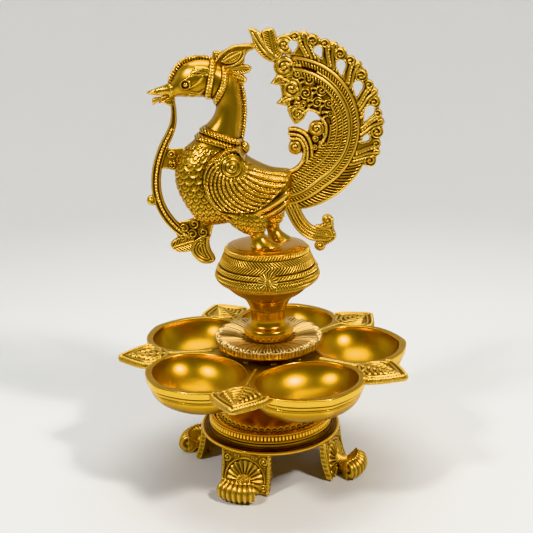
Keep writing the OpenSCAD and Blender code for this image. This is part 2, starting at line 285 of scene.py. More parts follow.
def scales(u, v, width, row):
    """Round scales that overlap like tiles and hang towards -v, from 0 to 1."""
    height = np.zeros(u.shape)
    free = np.ones(u.shape, bool)
    radius = 0.62 * width
    for k in (2, 1, 0):
        line = np.floor(v / row) + k
        shift = 0.5 * np.mod(line, 2)
        cu = (np.floor(u / width - shift) + 0.5 + shift) * width
        cv = line * row
        d = np.hypot(u - cu, (v - cv) * 0.9)
        hit = free & (d < radius)
        lip = np.clip((cv - v) / radius, -0.4, 1)
        edge = clamp((radius - d) / (0.16 * radius))
        mark = 0.28 * bump(d, 0.55 * radius, 0.12 * radius)
        height = np.where(hit, (0.35 + 0.65 * lip) * edge - mark, height)
        free &= ~hit
    return height


def spiral(x, z, centre, radius, hand, turns=2.0):
    """A rolled volute: its share of the radius, and the height of its turns from 0 to 1."""
    dx, dz = x - centre[0], z - centre[1]
    rho = np.hypot(dx, dz) / radius
    phase = rho * turns - hand * np.arctan2(dz, dx) / (2 * math.pi)
    return rho, 0.5 + 0.5 * np.cos(2 * math.pi * phase)


FALL = 1.6          # how fast the field falls outside a casting, for each millimetre
THICKEST = 3.6      # more than any casting's half thickness


class Relief:
    """Half the thickness of a casting over the bird's plane. Negative is empty."""

    def __init__(self, low, high, step):
        self.step = step
        self.low = np.asarray(low, float)
        size = np.ceil((np.asarray(high, float) - self.low) / step).astype(int) + 1
        self.x, self.z = np.meshgrid(self.low[0] + step * np.arange(size[0]),
                                     self.low[1] + step * np.arange(size[1]), indexing="ij")
        self.h = np.full(self.x.shape, -3.0)

    def window(self, points, margin):
        """The part of the grid around some points."""
        p = np.asarray(points, float)
        a = np.floor((p.min(0) - margin - self.low) / self.step).astype(int)
        b = np.ceil((p.max(0) + margin - self.low) / self.step).astype(int) + 1
        a = np.clip(a, 0, self.x.shape)
        b = np.clip(b, 0, self.x.shape)
        return np.s_[a[0]:b[0], a[1]:b[1]]

    def plate(self, outline, top, edge, rim=0.0, pattern=None):
        """A flat casting with rounded edges, a raised rim and a pattern on it."""
        w = self.window(outline, 4)
        x, z = self.x[w], self.z[w]
        d = inside_distance(x, z, outline)
        share = clamp(d / edge)
        h = np.where(d > 0, top * dome(1 - share), FALL * d)
        inner = clamp((d - 0.6) / 1.0)
        h = h + np.where(d > 0, rim * bump(d, 0.9, 0.5), 0)
        if pattern is not None:
            h = h + pattern(x, z, d) * inner
        self.h[w] = np.maximum(self.h[w], h)

    def strand(self, path, width, top, offset=0.0, bead=None, hatch=None, base=0.0):
        """A ridge along a path. bead is (pitch, depth), hatch is (pitch, depth, slant)."""
        w = self.window(path, abs(offset) + width + 2)
        side, travel = along(self.x[w], self.z[w], path)
        rho = side - offset
        crown = top
        if bead:
            crown = top - bead[1] * (1 - beads(travel, bead[0]))
        if hatch:
            crown = crown - hatch[1] * wave(travel + hatch[2] * rho, hatch[0])
        h = base + (crown - base) * dome(rho / width)
        # a strand with a base lies on a plate, and adds nothing outside itself
        outside = base - FALL * (np.abs(rho) - width) - (0 if base == 0 else 9)
        h = np.where(np.abs(rho) < width, h, outside)
        self.h[w] = np.maximum(self.h[w], h)

    def volute(self, centre, radius, top, hand=1, turns=2.0, depth=0.7):
        """A round scroll, whose groove winds to the left or to the right by hand."""
        w = self.window([centre], radius + 2)
        rho, turn = spiral(self.x[w], self.z[w], centre, radius, hand, turns)
        wall = np.sqrt(clamp((1 - rho) * radius / 0.8))     # rises within 0.8 mm of the edge
        groove = depth * (1 - turn) * (rho < 0.9)
        h = np.where(rho < 1, top * wall * (0.72 + 0.28 * dome(rho)) - groove, -FALL * radius * (rho - 1))
        self.h[w] = np.maximum(self.h[w], h)

    def ridges(self, paths, width, top, bead, base):
        """Beaded ridges along smooth curves."""
        for path in paths:
            self.strand(smooth_path(path), width, top, bead=bead, base=base)

    def scrolls(self, places, top, turns, depth):
        """Round scrolls. places holds (centre, radius, hand)."""
        for centre, radius, hand in places:
            self.volute(centre, radius, top, hand, turns, depth)

    def cut(self, outline, edge=0.8):
        """A hole through the casting, with a rounded edge."""
        w = self.window(outline, 3)
        d = -inside_distance(self.x[w], self.z[w], outline)
        cap = np.where(d > 0, THICKEST * dome(1 - clamp(d / edge)) + 40 * (d > edge), FALL * d)
        self.h[w] = np.minimum(self.h[w], cap)

    def skin(self, back=None):
        """The casting's surface. With back, the reverse is flat at that depth."""
        top = float(self.h.max()) + 3 * self.step
        y = np.arange(-top, top + self.step, self.step)
        front = y[None, :, None] - self.h[:, None, :]
        reverse = self.h if back is None else np.minimum(self.h, back)
        field = np.maximum(front, -y[None, :, None] - reverse[:, None, :])
        return surface_of(field, (self.low[0], y[0], self.low[1]), self.step)


# ---------------------------------------------------------------- materials


def new_material(name, metallic):
    """A node material: its tree, its shader and the object coordinates."""
    mat = bpy.data.materials.new(name)
    mat.use_nodes = True
    tree = mat.node_tree
    shader = tree.nodes["Principled BSDF"]
    shader.inputs["Metallic"].default_value = metallic
    return mat, tree, shader, tree.nodes.new("ShaderNodeTexCoord").outputs["Object"]


def add_node(tree, kind, inputs):
    """A shader node whose inputs are constants, or are linked where a socket is given."""
    made = tree.nodes.new("ShaderNode" + kind)
    for name, value in inputs.items():
        if isinstance(value, bpy.types.NodeSocket):
            tree.links.new(value, made.inputs[name])
        else:
            made.inputs[name].default_value = value
    return made


def colour_ramp(tree, factor, stops):
    """Colours by a factor. stops is [(position, colour), ...], the two outer ones first."""
    ramp = add_node(tree, "ValToRGB", {"Fac": factor})
    elements = ramp.color_ramp.elements
    for element, (position, colour) in zip(list(elements), stops):
        element.position, element.color = position, (*colour, 1)
    for position, colour in stops[2:]:
        elements.new(position).color = (*colour, 1)
    return ramp


def lathe_marks(tree, place, depth, normal):
    """Bumps from noise drawn out around the axis, by radius and height."""
    split = add_node(tree, "SeparateXYZ", {"Vector": place})
    flat = add_node(tree, "CombineXYZ", {"X": split.outputs["X"], "Y": split.outputs["Y"]})
    length = tree.nodes.new("ShaderNodeVectorMath")
    length.operation = "LENGTH"
    tree.links.new(flat.outputs["Vector"], length.inputs[0])
    rings = add_node(tree, "CombineXYZ", {"X": length.outputs["Value"], "Z": split.outputs["Z"]})
    marks = add_node(tree, "TexNoise", {"Vector": rings.outputs["Vector"], "Scale": 1400, "Detail": 2})
    return add_node(tree, "Bump", {"Height": marks.outputs["Fac"], "Strength": depth, "Distance": 0.0001,
                                   "Normal": normal})


def brass(name, light, mid, dark, rough, grain=0.25, tone_size=45.0, marks=0.0):
    """Brass: light on the ridges, mid on plain skin, and dark in the hollows, as old polish and as
    painted shade.

    grain is the depth of the fine casting grain, and marks that of lathe marks about the axis.
    """
    mat, tree, shader, place = new_material(name, 1.0)
    hollow = tree.nodes.new("ShaderNodeAttribute")
    hollow.attribute_name = "hollow"
    # the depth in a groove and a little noise pick the colour; the dark end is painted shade as well as
    # old polish
    tone = add_node(tree, "TexNoise", {"Vector": place, "Scale": tone_size, "Detail": 4})
    shift = add_node(tree, "Math", {0: tone.outputs["Fac"], 1: 0.22, 2: -0.11})
    shift.operation = "MULTIPLY_ADD"
    level = add_node(tree, "Math", {0: hollow.outputs["Fac"], 1: shift.outputs[0]})
    level.operation = "ADD"
    ramp = colour_ramp(tree, level.outputs[0], [(0.25, light), (0.86, dark), (0.53, mid)])
    ramp.color_ramp.interpolation = "EASE"
    roughness = add_node(tree, "MapRange", {"Value": level.outputs[0], "From Min": 0.2, "From Max": 1.0,
                                            "To Min": rough[0], "To Max": rough[1]})
    speck = add_node(tree, "TexNoise", {"Vector": place, "Scale": 900.0, "Detail": 3})
    bumps = add_node(tree, "Bump", {
        "Height": speck.outputs["Fac"], "Strength": grain, "Distance": 0.0002})
    if marks:
        bumps = lathe_marks(tree, place, marks, bumps.outputs["Normal"])
    tree.links.new(ramp.outputs["Color"], shader.inputs["Base Color"])
    tree.links.new(roughness.outputs["Result"], shader.inputs["Roughness"])
    tree.links.new(bumps.outputs["Normal"], shader.inputs["Normal"])
    return mat


# each brass's dark colour, near black, is old polish and painted shade in the grooves
cast_brass = brass(
    "cast_brass", (0.86, 0.57, 0.13), (0.43, 0.235, 0.030), (0.034, 0.014, 0.003), (0.28, 0.58),
    grain=0.4)
bird_brass = brass(
    "bird_brass", (0.88, 0.56, 0.11), (0.48, 0.265, 0.027), (0.034, 0.014, 0.003), (0.19, 0.52),
    grain=0.2)
collar_brass = brass(
    "collar_brass", (0.70, 0.50, 0.22), (0.43, 0.275, 0.085), (0.045, 0.022, 0.006), (0.40, 0.62),
    grain=0.5, tone_size=120.0)
turned_brass = brass(
    "turned_brass", (0.86, 0.50, 0.08), (0.64, 0.32, 0.022), (0.07, 0.027, 0.003), (0.13, 0.42),
    grain=0.12, marks=0.25)
tray_brass = brass(
    "tray_brass", (0.90, 0.57, 0.09), (0.60, 0.335, 0.032), (0.16, 0.075, 0.010), (0.15, 0.50),
    grain=0.15)


def worn(name, light, dark, metallic, rough, size, depth, grain_size):
    """Steel or leather: two tones in patches, uneven gloss and a fine grain."""
    mat, tree, shader, place = new_material(name, metallic)
    patches = add_node(tree, "TexNoise", {"Vector": place, "Scale": size, "Detail": 5})
    ramp = colour_ramp(tree, patches.outputs["Fac"], [(0.3, dark), (0.7, light)])
    gloss = add_node(tree, "MapRange", {
        "Value": patches.outputs["Fac"], "To Min": rough[1], "To Max": rough[0]})
    pores = add_node(tree, "TexVoronoi", {"Vector": place, "Scale": grain_size})
    raised = add_node(tree, "Bump", {"Height": pores.outputs["Distance"], "Strength": depth,
                                     "Distance": 0.0002})
    tree.links.new(ramp.outputs["Color"], shader.inputs["Base Color"])
    tree.links.new(gloss.outputs["Result"], shader.inputs["Roughness"])
    tree.links.new(raised.outputs["Normal"], shader.inputs["Normal"])
    return mat


steel = worn("steel", (0.52, 0.52, 0.50), (0.26, 0.25, 0.24), 1.0, (0.30, 0.50), 160, 0.15, 1800)
leather = worn("leather", (0.20, 0.10, 0.045), (0.07, 0.03, 0.015), 0.0, (0.55, 0.80), 220, 0.6, 1500)


def dress(material, *names):
    """Gives shown CAD nodes their material."""
    for name in names:
        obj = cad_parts[name]
        if not obj.material_slots:
            obj.data.materials.append(material)
        for piece_slot in obj.material_slots:
            piece_slot.material = material


dress(steel, "foot_screws", "tie_rod", "base_washer", "base_nut", "finial_stud")
dress(leather, "stem_washer", "finial_washer")
dress(turned_brass, "tray_hub")

# ---------------------------------------------------------------- tail

TAIL = (16.0, 241.0)        # the tail's strands are arcs about this point
TAIL_STEP = 0.36            # the grid that the tail is built on


def finish_casting(relief, name, node):
    """The mesh of a casting of the bird's, with the same relief on both faces."""
    finish_piece(mesh_object(name, *relief.skin()), cast_brass, "finial", "cast_brass", node)


def polar(radius, angle):
    """A point of the bird's plane, from the tail's centre."""
    a = math.radians(angle)
    return (TAIL[0] + radius * math.cos(a), TAIL[1] + radius * math.sin(a))


def tail_arc(radius, start, end, count=40):
    """Points along an arc about the tail's centre, between two angles in degrees."""
    angle = np.radians(np.linspace(start, end, count))
    return np.stack([TAIL[0] + radius * np.cos(angle), TAIL[1] + radius * np.sin(angle)], 1)


def drift(low, high, start, end, count=70):
    """An arc whose radius passes from low, in the tail's lower half, to high in its upper half.

    Near its root on the bird's back it bends outwards, and the inner rows bend most.
    """
    angle = np.linspace(start, end, count)
    share = clamp((angle - 5) / 55)
    root = clamp((-55 - angle) / 40)
    radius = low + eased(high - low, share) + eased(11.0 - 0.13 * low, root)
    return np.array([polar(r, a) for r, a in zip(radius, angle)])


def tail_strands(relief):
    """Hatched rows between smooth ridges, from the bird's back up and over to the tip."""
    inner = drift(26.6, 26.6, -8, -94, 24)
    relief.plate(np.vstack([drift(48.4, 48.4, -94, 88), tail_arc(33.0, 88, 4, 24), inner]), 1.25, 1.0)
    for low, high, width, top, end in (
            (45.4, 45.4, 1.35, 3.1, 84), (41.3, 40.4, 0.9, 2.7, 62), (39.4, 38.1, 1.35, 3.2, 84),
            (35.4, 34.0, 0.9, 2.7, 50), (31.4, 31.4, 1.0, 2.8, 26), (27.5, 27.5, 0.9, 2.6, 2)):
        relief.strand(drift(low, high, -92, end), width, top, base=1.0)
    # the crown of the two main strands broadens towards the tip
    for radius in (44.6, 37.2):
        relief.strand(tail_arc(radius, 26, 84, 30), 2.1, 2.5, base=0.9)
    for low, high, end in (
            (43.3, 42.5, 84), (37.3, 35.9, 84), (33.4, 33.0, 32), (29.5, 29.5, 14), (25.7, 25.7, -26)):
        relief.strand(drift(low, high, -92, end), 1.75, 3.6, hatch=(2.0, 1.5, 0.55), base=0.8)


def tail_fringe(relief):
    """Slanting barbs along the outside of the lower half, with a plain border."""
    outline = np.vstack([tail_arc(55.6, -92, -24, 30), drift(46, 46, -22, -92, 30)])

    def barbs(x, z, d):
        radius = np.hypot(x - TAIL[0], z - TAIL[1])
        angle = np.arctan2(z - TAIL[1], x - TAIL[0])
        comb = wave(angle * 50 - 0.95 * (radius - 48), 2.75)
        fade = clamp((54.2 - radius) / 1.4)
        return fade * (1.7 * comb ** 0.9 - 0.6)

    relief.plate(outline, 1.5, 1.8, pattern=barbs)
    relief.strand(tail_arc(54.9, -90, -26, 30), 0.8, 2.1, base=0.8)


# holes between the flames, as [root radius, root angle, tip radius, tip angle, half width]
HOLES = [(49.0, -12.6, 53.2, -6.8, 2.1), (49.4, 3.0, 56.4, 13.6, 3.1), (48.4, 23.2, 54.4, 33.0, 3.3),
         (48.0, 43.4, 55.0, 52.0, 3.1), (49.8, 64.0, 55.2, 70.8, 2.9), (48.3, 86.0, 56.2, 86.4, 3.1)]
FLAME_STEP = 19.4


def tear_drop(root_r, root_a, tip_r, tip_a, half):
    """A hole that is pointed at its root and round at its tip."""
    root, tip = np.array(polar(root_r, root_a)), np.array(polar(tip_r, tip_a))
    run = tip - root
    side = np.array([-run[1], run[0]]) / np.hypot(*run) * half
    shape = [(0, 0), (0.3, 0.5), (0.62, 1), (0.88, 0.8), (1, 0), (0.88, -0.8), (0.62, -1), (0.3, -0.5)]
    return loop([root + run * u + side * v for u, v in shape])


def flame(relief, foot):
    """A leaf of the tail's edge that sweeps forward from between two holes and rolls up in curls.

    Its ribs and curls are given by radius and by angle from the flame's foot.
    """
    plain, beaded = None, (2.0, 1.0)
    for points, width, top, bead in (
            (((47.6, -1.5), (50.5, 1.6), (53.5, 4.8), (56.5, 6.6), (59, 6.6)), 1.15, 2.9, plain),
            (((47.6, 1.4), (51, 4.8), (54.5, 8.0), (58.5, 10.4)), 1.1, 3.0, beaded),
            (((47.6, 4.6), (51, 8.0), (55, 11.4), (60.5, 13.4)), 1.15, 3.1, plain),
            (((47.6, 7.4), (50.4, 10.4), (54.5, 14.2), (59, 16.2)), 1.1, 3.0, beaded),
            (((47.6, 9.6), (50.2, 12.0), (53.4, 14.9), (57.5, 17.4)), 1.0, 2.8, plain)):
        rib = smooth_path([polar(radius, foot + turn) for radius, turn in points], 5)
        relief.strand(rib, width, top, bead=bead, base=1.0)
    for radius, turn, size, top, hand, turns, depth in (
            (57.9, 7.4, 4.6, 3.6, 1, 2.0, 1.3),
            (59.6, 13.4, 3.4, 3.1, -1, 1.5, 1.0),
            (58.6, 18.8, 3.5, 3.0, 1, 1.5, 1.0)):
        relief.volute(polar(radius, foot + turn), size, top, hand, turns, depth)


def openwork(relief):
    """The band of flames round the tail's outside, and a rim round each hole in it."""
    relief.plate(np.vstack([tail_arc(60.4, -16, 92, 60), tail_arc(46.5, 92, -24, 60)]), 1.9, 1.2)
    for k in range(-1, 5):
        flame(relief, -11 + FLAME_STEP * k)
    for hole in HOLES:
        edge = tear_drop(*hole)
        relief.strand(np.vstack([edge, edge[:1]]), 1.25, 2.6, base=1.0)


def leaf_veins(root, tip, pitch=1.9, slant=0.8, depth=0.55):
    """A pattern of side veins that leave a midrib from root towards tip."""
    rx, rz = root
    length = math.hypot(tip[0] - rx, tip[1] - rz)
    ux, uz = (tip[0] - rx) / length, (tip[1] - rz) / length

    def pattern(x, z, d):
        run = (x - rx) * ux + (z - rz) * uz
        off = (z - rz) * ux - (x - rx) * uz
        veins = wave(run - slant * np.abs(off), pitch)
        return depth * (veins - 0.5) * clamp(np.abs(off) - 0.4) + 0.7 * bump(off, 0, 0.55)
    return pattern


def tail_tip(relief):
    """The leaf that meets the crest, its second lobe and the rosettes of the inner edge."""
    first = loop([
        (-9, 304.8), (-6.1, 305.4), (-3.4, 304), (-1, 302.2), (0.6, 299), (4, 291), (8.5, 285.5),
        (6.4, 283.4), (1.5, 285.3), (-1.6, 288), (-4.6, 291.6), (-6.2, 296), (-7.4, 300.6)])
    relief.plate(first, 1.9, 1.4, rim=0.6, pattern=leaf_veins((7, 284), (-6, 304), 1.7, 0.5, 0.5))
    second = loop([
        (-0.6, 302.6), (2, 304.6), (5, 305.2), (7.4, 304.4), (8.8, 301), (9.6, 297), (13, 290), (10, 284),
        (5, 287), (1, 294)])
    relief.plate(second, 2.1, 1.4, rim=0.6, pattern=leaf_veins((8, 286), (4, 305), 1.6, 0.6, 0.5))
    relief.ridges((
            [(-6.8, 302.5), (-3, 296), (1.5, 290), (7, 285.6)],
            [(-3.6, 302.2), (0, 296), (4.5, 290.5), (9, 287)]), 0.9, 2.8, (1.4, 0.35), 1.6)
    relief.scrolls((
            ((13.7, 294.5), 6.3, 1), ((13.6, 280.6), 6.9, -1), ((18.2, 266.8), 7.2, 1),
            ((22.0, 250.2), 5.6, -1)), 3.1, 2.4, 0.75)


def tail_filigree(relief):
    """The scrolled field inside the strands, and the small leaves that stick out of its edge."""
    field = loop([
        (9, 283), (9.4, 276), (11.4, 268), (12, 261), (15.5, 256), (17.4, 249), (20.6, 244.2),
        (25.4, 247), (28.4, 252.4), (33, 251.6), (38.6, 245.6), (47, 244), (50, 256), (40, 272),
        (22, 283)])
    relief.plate(field, 1.0, 0.9)
    curls = [
        ((21.4, 276.0), 4.3, 1), ((30.0, 272.2), 4.5, -1), ((37.4, 265.2), 4.3, 1),
        ((27.2, 263.6), 4.4, 1), ((34.8, 257.4), 3.9, -1), ((42.4, 256.6), 3.8, 1),
        ((25.2, 256.0), 3.0, -1), ((43.2, 249.6), 2.8, 1)]
    for centre, radius, hand in curls:
        relief.volute(centre, radius, 3.1, hand, turns=2.0, depth=1.3)
        # two small leaves spring from each curl
        x, z = centre
        for lean in (-1, 1):
            leaf = [(x - radius * 0.9, z + 1.2 * lean), (x - radius - 1.6, z - 0.4 + 2.0 * lean),
                    (x - radius - 2.2, z - 2.4 + 3.4 * lean)]
            relief.strand(smooth_path(leaf, 4), 1.0, 2.6, base=0.6)
    relief.ridges((
            [(9.6, 274.8), (14, 272.4), (19, 269.6), (22, 266)],
            [(12, 258), (16.6, 259.6), (20.6, 261), (22.6, 260)],
            [(21, 245.4), (25, 250.0), (29.4, 252.6), (36, 250.4)],
            [(9.4, 279), (13, 280), (17, 282), (24, 281.4)]), 1.3, 3.2, (2.0, 0.9), 0.8)
    for outline, root, tip in (
            ([(10, 276.4), (5.6, 271.6), (4.6, 270), (9, 269), (14, 268.6), (13.6, 273.6)], (13, 271.6),
            (4.8, 270.2)),
            ([(13.6, 262), (9.6, 258.8), (8.2, 257), (12.4, 255.8), (17, 255.2), (17.2, 260)],
            (16.6, 257.6), (8.4, 257.2)),
            ([(15.4, 254.6), (17.0, 248), (20.2, 243.2), (24.4, 245.4), (27.8, 250.6), (24, 256.6)],
            (21, 254), (20.6, 244.2))):
        relief.plate(loop(outline), 2.2, 1.3, rim=0.5, pattern=leaf_veins(root, tip, 1.5))


def tail_lobe(relief):
    """The three-lobed leaf and two rosettes low on the inner edge."""
    body = loop([
        (16.4, 241.4), (21, 241.6), (28.6, 239), (31, 240), (33, 246), (38, 246), (44, 244), (44, 230),
        (38, 220), (30, 212), (20, 207.4), (14, 207), (13.4, 212.4), (18.3, 214.2), (22, 217),
        (25.2, 221.4), (24.6, 224.4), (20.8, 222.8), (16.4, 224.8), (15.6, 229.6), (17.6, 233.6),
        (16, 236.6)])
    relief.plate(body, 1.1, 1.0)
    relief.volute((20.1, 228.5), 4.5, 3.0, 1, turns=1.8)
    relief.volute((34.2, 240.2), 5.2, 3.0, -1, turns=2.2)
    relief.ridges((
            [(16.6, 240.2), (22, 239.6), (27.6, 236), (30.6, 229), (31, 222)],
            [(16.4, 237), (22, 236.2), (26, 232.6), (28.2, 226), (27.6, 219)],
            [(17.4, 234), (22, 233.6), (25, 230.4), (26.4, 225), (25, 219)],
            [(30.8, 246), (36, 247.4), (40, 243), (40.2, 236), (36, 228)],
            [(13.4, 211.4), (18.6, 212.6), (22.6, 215.4), (26.2, 220)]), 1.25, 3.1, (2.0, 0.6), 0.9)
    for centre, radius in (
            ((33.4, 233.2), 2.6), ((37.0, 230.0), 2.4), ((33.0, 227.6), 2.2), ((39.4, 236.4), 2.4)):
        relief.volute(centre, radius, 2.9, 1, turns=1.5, depth=1.0)


def make_tail():
    """The openwork tail, pierced last so that no strand closes a hole."""
    relief = Relief((-12, 182), (82, 309), TAIL_STEP)
    tail_fringe(relief)
    tail_filigree(relief)
    tail_lobe(relief)
    openwork(relief)
    tail_strands(relief)
    tail_tip(relief)
    relief.cut(loop([
        (28.6, 251.4), (32.8, 250.8), (36.8, 246.9), (36.4, 245.6), (31.4, 245.2), (28.2, 240.8),
        (24.4, 242.4), (22.4, 243.6), (25.8, 245.6)]), 0.7)
    for hole in HOLES:
        relief.cut(tear_drop(*hole), 0.8)
    finish_casting(relief, "tail_casting", "bird_tail")


# ---------------------------------------------------------------- garland, crest and under-tail leaf


def tapered(spine, places, halves):
    """An outline along a spine, at a half width that changes along it."""
    run = np.gradient(spine, axis=0)
    side = np.stack([-run[:, 1], run[:, 0]], 1) / np.hypot(run[:, 0], run[:, 1])[:, None]
    half = np.interp(np.linspace(0, 1, len(spine)), places, halves)[:, None]
    return np.vstack([spine + side * half, (spine - side * half)[::-1]])


def garland_stem(relief):
    """The beaded stem that hangs from the beak and widens downwards, with a bud at its side."""
    spine = smooth_path([
        (-60.4, 262.5), (-59.0, 256), (-59.4, 247), (-61.8, 239.6), (-65.6, 232.4), (-68.8, 225),
        (-71.6, 216), (-72.8, 207), (-72.6, 199), (-70.4, 190), (-66, 181.6), (-60, 174.4), (-53, 168.6)],
        6)
    relief.plate(tapered(spine, (0, 0.1, 0.25, 0.4, 1), (1.5, 1.8, 2.6, 3.2, 3.5)), 1.6, 1.0, rim=1.1)
    relief.strand(spine[16:], 1.25, 2.8, bead=(2.0, 0.9), base=0.9)
    relief.volute((-76.2, 194.2), 3.6, 2.9, 1, turns=1.3, depth=0.5)


def garland_sprigs(relief):
    """The sprig in the beak, and the curls that bridge the stem and the breast."""
    sprig = loop([
        (-72.4, 262), (-72.2, 257.6), (-69.4, 259.4), (-66.5, 260), (-63.2, 257.6), (-58.4, 257),
        (-58, 263.2), (-62, 264.4), (-67, 263)])
    relief.plate(sprig, 1.8, 1.0, rim=0.4, pattern=leaf_veins((-59, 261), (-72.4, 260), 1.7, 0.7, 0.5))
    bridge = loop([
        (-67.6, 229), (-61, 228.6), (-52, 228), (-52, 214), (-59, 213.6), (-64, 215.2), (-68.6, 216),
        (-69, 222)], 3)
    relief.plate(bridge, 1.1, 1.0)
    relief.scrolls((
            ((-61.6, 224.8), 3.2, 1), ((-61.4, 218.2), 3.0, -1), ((-55.6, 221.8), 3.4, 1)), 3.2, 1.6, 1.1)


def garland_knot(relief):
    """A knot of curls under the breast."""
    knot = loop([
        (-60, 178), (-53, 180), (-43, 183.6), (-33.4, 183.6), (-36.4, 174), (-38.6, 167), (-46, 164),
        (-56, 164.6), (-61, 170)])
    relief.plate(knot, 1.2, 1.0)
    relief.scrolls((
            ((-55.4, 174.6), 3.5, 1), ((-48.6, 177.6), 3.7, -1), ((-41.2, 179.2), 3.7, 1),
            ((-42.8, 171.8), 3.7, -1), ((-50.0, 170.6), 3.7, 1), ((-56.6, 168.4), 3.2, -1),
            ((-44.0, 165.6), 3.0, 1)), 3.2, 1.5, 1.3)


def garland_tassels(relief):
    """The two broad leaves that hang from the knot."""
    left = loop([
        (-50.4, 170), (-59, 168.6), (-63.8, 165.8), (-65.4, 162.6), (-62.6, 159), (-58, 157.6),
        (-52, 158.4), (-48, 161.4)], 5)
    relief.plate(left, 2.2, 1.5, rim=0.5, pattern=leaf_veins((-48.4, 166), (-65.4, 161), 1.9, -0.9, 0.75))
    right = loop([
        (-38.6, 169.4), (-38.8, 164), (-38, 159.4), (-35.6, 154.6), (-35.4, 151.4), (-38.6, 149.3),
        (-43.6, 149.4), (-48.2, 152.2), (-51.4, 157), (-51.6, 162), (-48.8, 166.4), (-43.2, 169.6)], 5)

    def rings(x, z, d):
        return 0.55 * (wave(d, 1.9) - 0.4)
    relief.plate(right, 2.3, 1.5, rim=0.4, pattern=rings)


def make_garland():
    """The casting that hangs from the beak."""
    relief = Relief((-81, 147), (-30, 265), 0.3)
    garland_stem(relief)
    garland_sprigs(relief)
    garland_knot(relief)
    garland_tassels(relief)
    finish_casting(relief, "garland_casting", "beak_garland")


def make_crest():
    """The plume between the head and the tail's tip: a heart of leaves on a stem."""
    relief = Relief((-38, 267), (-3, 299), 0.25)
    body = loop([
        (-31.6, 282), (-32.8, 287.4), (-31.6, 292), (-29.6, 290.8), (-27.6, 291.8), (-24.4, 290.6),
        (-22.2, 291.4), (-18.6, 294.4), (-13, 295.6), (-5.6, 295.8), (-5.4, 292.2), (-9.6, 290.4),
        (-11.8, 286.4), (-12.6, 283.2), (-20, 280)])
    relief.plate(body, 1.7, 1.1, rim=0.3)
    heart = loop([
        (-27.4, 284.6), (-24, 289), (-18.4, 291.8), (-12.6, 292), (-13.4, 288), (-16.4, 284.4),
        (-22, 282.8)])
    relief.plate(heart, 2.5, 1.1, rim=0.5, pattern=leaf_veins((-27, 284), (-12, 291.6), 1.4, 0.6, 0.35))
    relief.ridges((
            [(-31, 284), (-26.6, 289.4), (-19.4, 293.6), (-12, 294.4), (-5.8, 294)],
            [(-29.6, 282.8), (-22, 281.6), (-15.8, 283.8), (-12.6, 287.8), (-11.6, 291.8)],
            [(-27, 280.2), (-20.4, 279.6), (-14.8, 281.4)]), 0.95, 2.9, (1.2, 0.3), 1.2)
    for outline, root, tip in (
            ([(-27, 281), (-19, 281.8), (-12.8, 282.8), (-8.6, 281.8), (-7.4, 280), (-9.6, 277.2),
            (-14, 276.4), (-20, 277.4)], (-24, 279.6), (-7.6, 280.4)),
            ([(-24, 278.6), (-16, 277.6), (-11.4, 274.6), (-10.6, 272.4), (-13, 270.2), (-17, 270.6),
            (-21, 273)], (-22, 276.6), (-11, 272.2))):
        relief.plate(loop(outline), 2.5, 1.3, rim=0.4, pattern=leaf_veins(root, tip, 1.6, 0.7, 0.6))
    relief.volute((-29.4, 288.6), 2.7, 2.7, 1, turns=1.4)
    finish_casting(relief, "crest_casting", "crest_plume")


def make_under_leaf():
    """The curled leaf under the tail, on a stem of five ridges."""
    relief = Relief((12, 154), (53, 191), 0.25)
    stem = smooth_path([
        (16.4, 190), (18.6, 184.6), (21.8, 178), (26.2, 172.4), (32, 168.8), (40.4, 168.2)], 6)
    relief.strand(stem, 5.0, 1.6)
    for offset, bead in ((-3.8, None), (-1.9, (1.5, 0.45)), (0.0, None), (1.9, (1.5, 0.45)), (3.8, None)):
        relief.strand(stem, 1.05, 2.6 if bead is None else 2.4, offset=offset, bead=bead, base=1.0)
    head = loop([
        (31.4, 166), (35.4, 163.0), (40.2, 160.8), (43.4, 162.2), (46.6, 164.8), (47.2, 168), (45.6, 172),
        (45.2, 176), (39, 176.4), (34.6, 173)])
    relief.plate(head, 2.1, 1.4, rim=0.4, pattern=leaf_veins((34, 168), (47.6, 166.4), 1.6, 0.6, 0.6))
    relief.strand(smooth_path([(34.2, 173.6), (39.2, 173), (43.2, 174.6), (44.0, 178.6)]), 1.5, 2.8)
    relief.volute((41.2, 178.4), 3.7, 2.9, -1, turns=1.5)
    relief.volute((36.2, 160.4), 3.8, 2.9, 1, turns=1.6)
    finish_casting(relief, "under_tail_casting", "under_tail_leaf")


make_tail()
make_garland()
make_crest()
make_under_leaf()

# ---------------------------------------------------------------- bird

BIRD_STEP = 0.4             # the grid that the bird is built on
BIRD_LOW, BIRD_HIGH = (-79.0, -22.0, 161.5), (21.0, 22.0, 291.5)
SHOULDER = (-21.0, 220.5)
FEATHER_WIDTH = 14.5        # degrees of the wing's fan, at its root
FEATHER_CURL = 7.4          # how the fan turns with its reach, in degrees a millimetre

BIRD_OUTLINE = [
    (-75.8, 265.6), (-70, 268.3), (-64.5, 270.3), (-61, 271.8), (-59, 274), (-55.5, 280), (-50.5, 284.3),
    (-45, 286.2), (-38, 286.6), (-31, 285), (-24, 281.5), (-18.5, 277.5), (-15.7, 272), (-14.8, 266),
    (-13.8, 259), (-13.6, 252), (-14.2, 244), (-15.6, 236), (-15.4, 230), (-12.6, 224), (-4.5, 219),
    (5, 215), (17.7, 213), (18, 205), (16.4, 196), (13.5, 188), (7, 183), (-2, 181), (-12, 180),
    (-24, 178.6), (-34, 177.2), (-44.7, 179), (-49, 184), (-53.2, 190), (-56.6, 196.5), (-59, 203),
    (-59.8, 209.6), (-59.2, 217), (-57.2, 223), (-54, 227.5), (-50.6, 230.5), (-46, 235), (-41.5, 241),
    (-37.5, 245), (-34.2, 248.5), (-31.9, 253), (-31.2, 257.5), (-32.8, 260.4), (-37, 262), (-44, 262.2),
    (-51, 262.4), (-56, 262.8), (-60.5, 261.2), (-64.5, 259.4), (-68.6, 258.6), (-66.8, 261),
    (-62.5, 263.4), (-68, 264)]


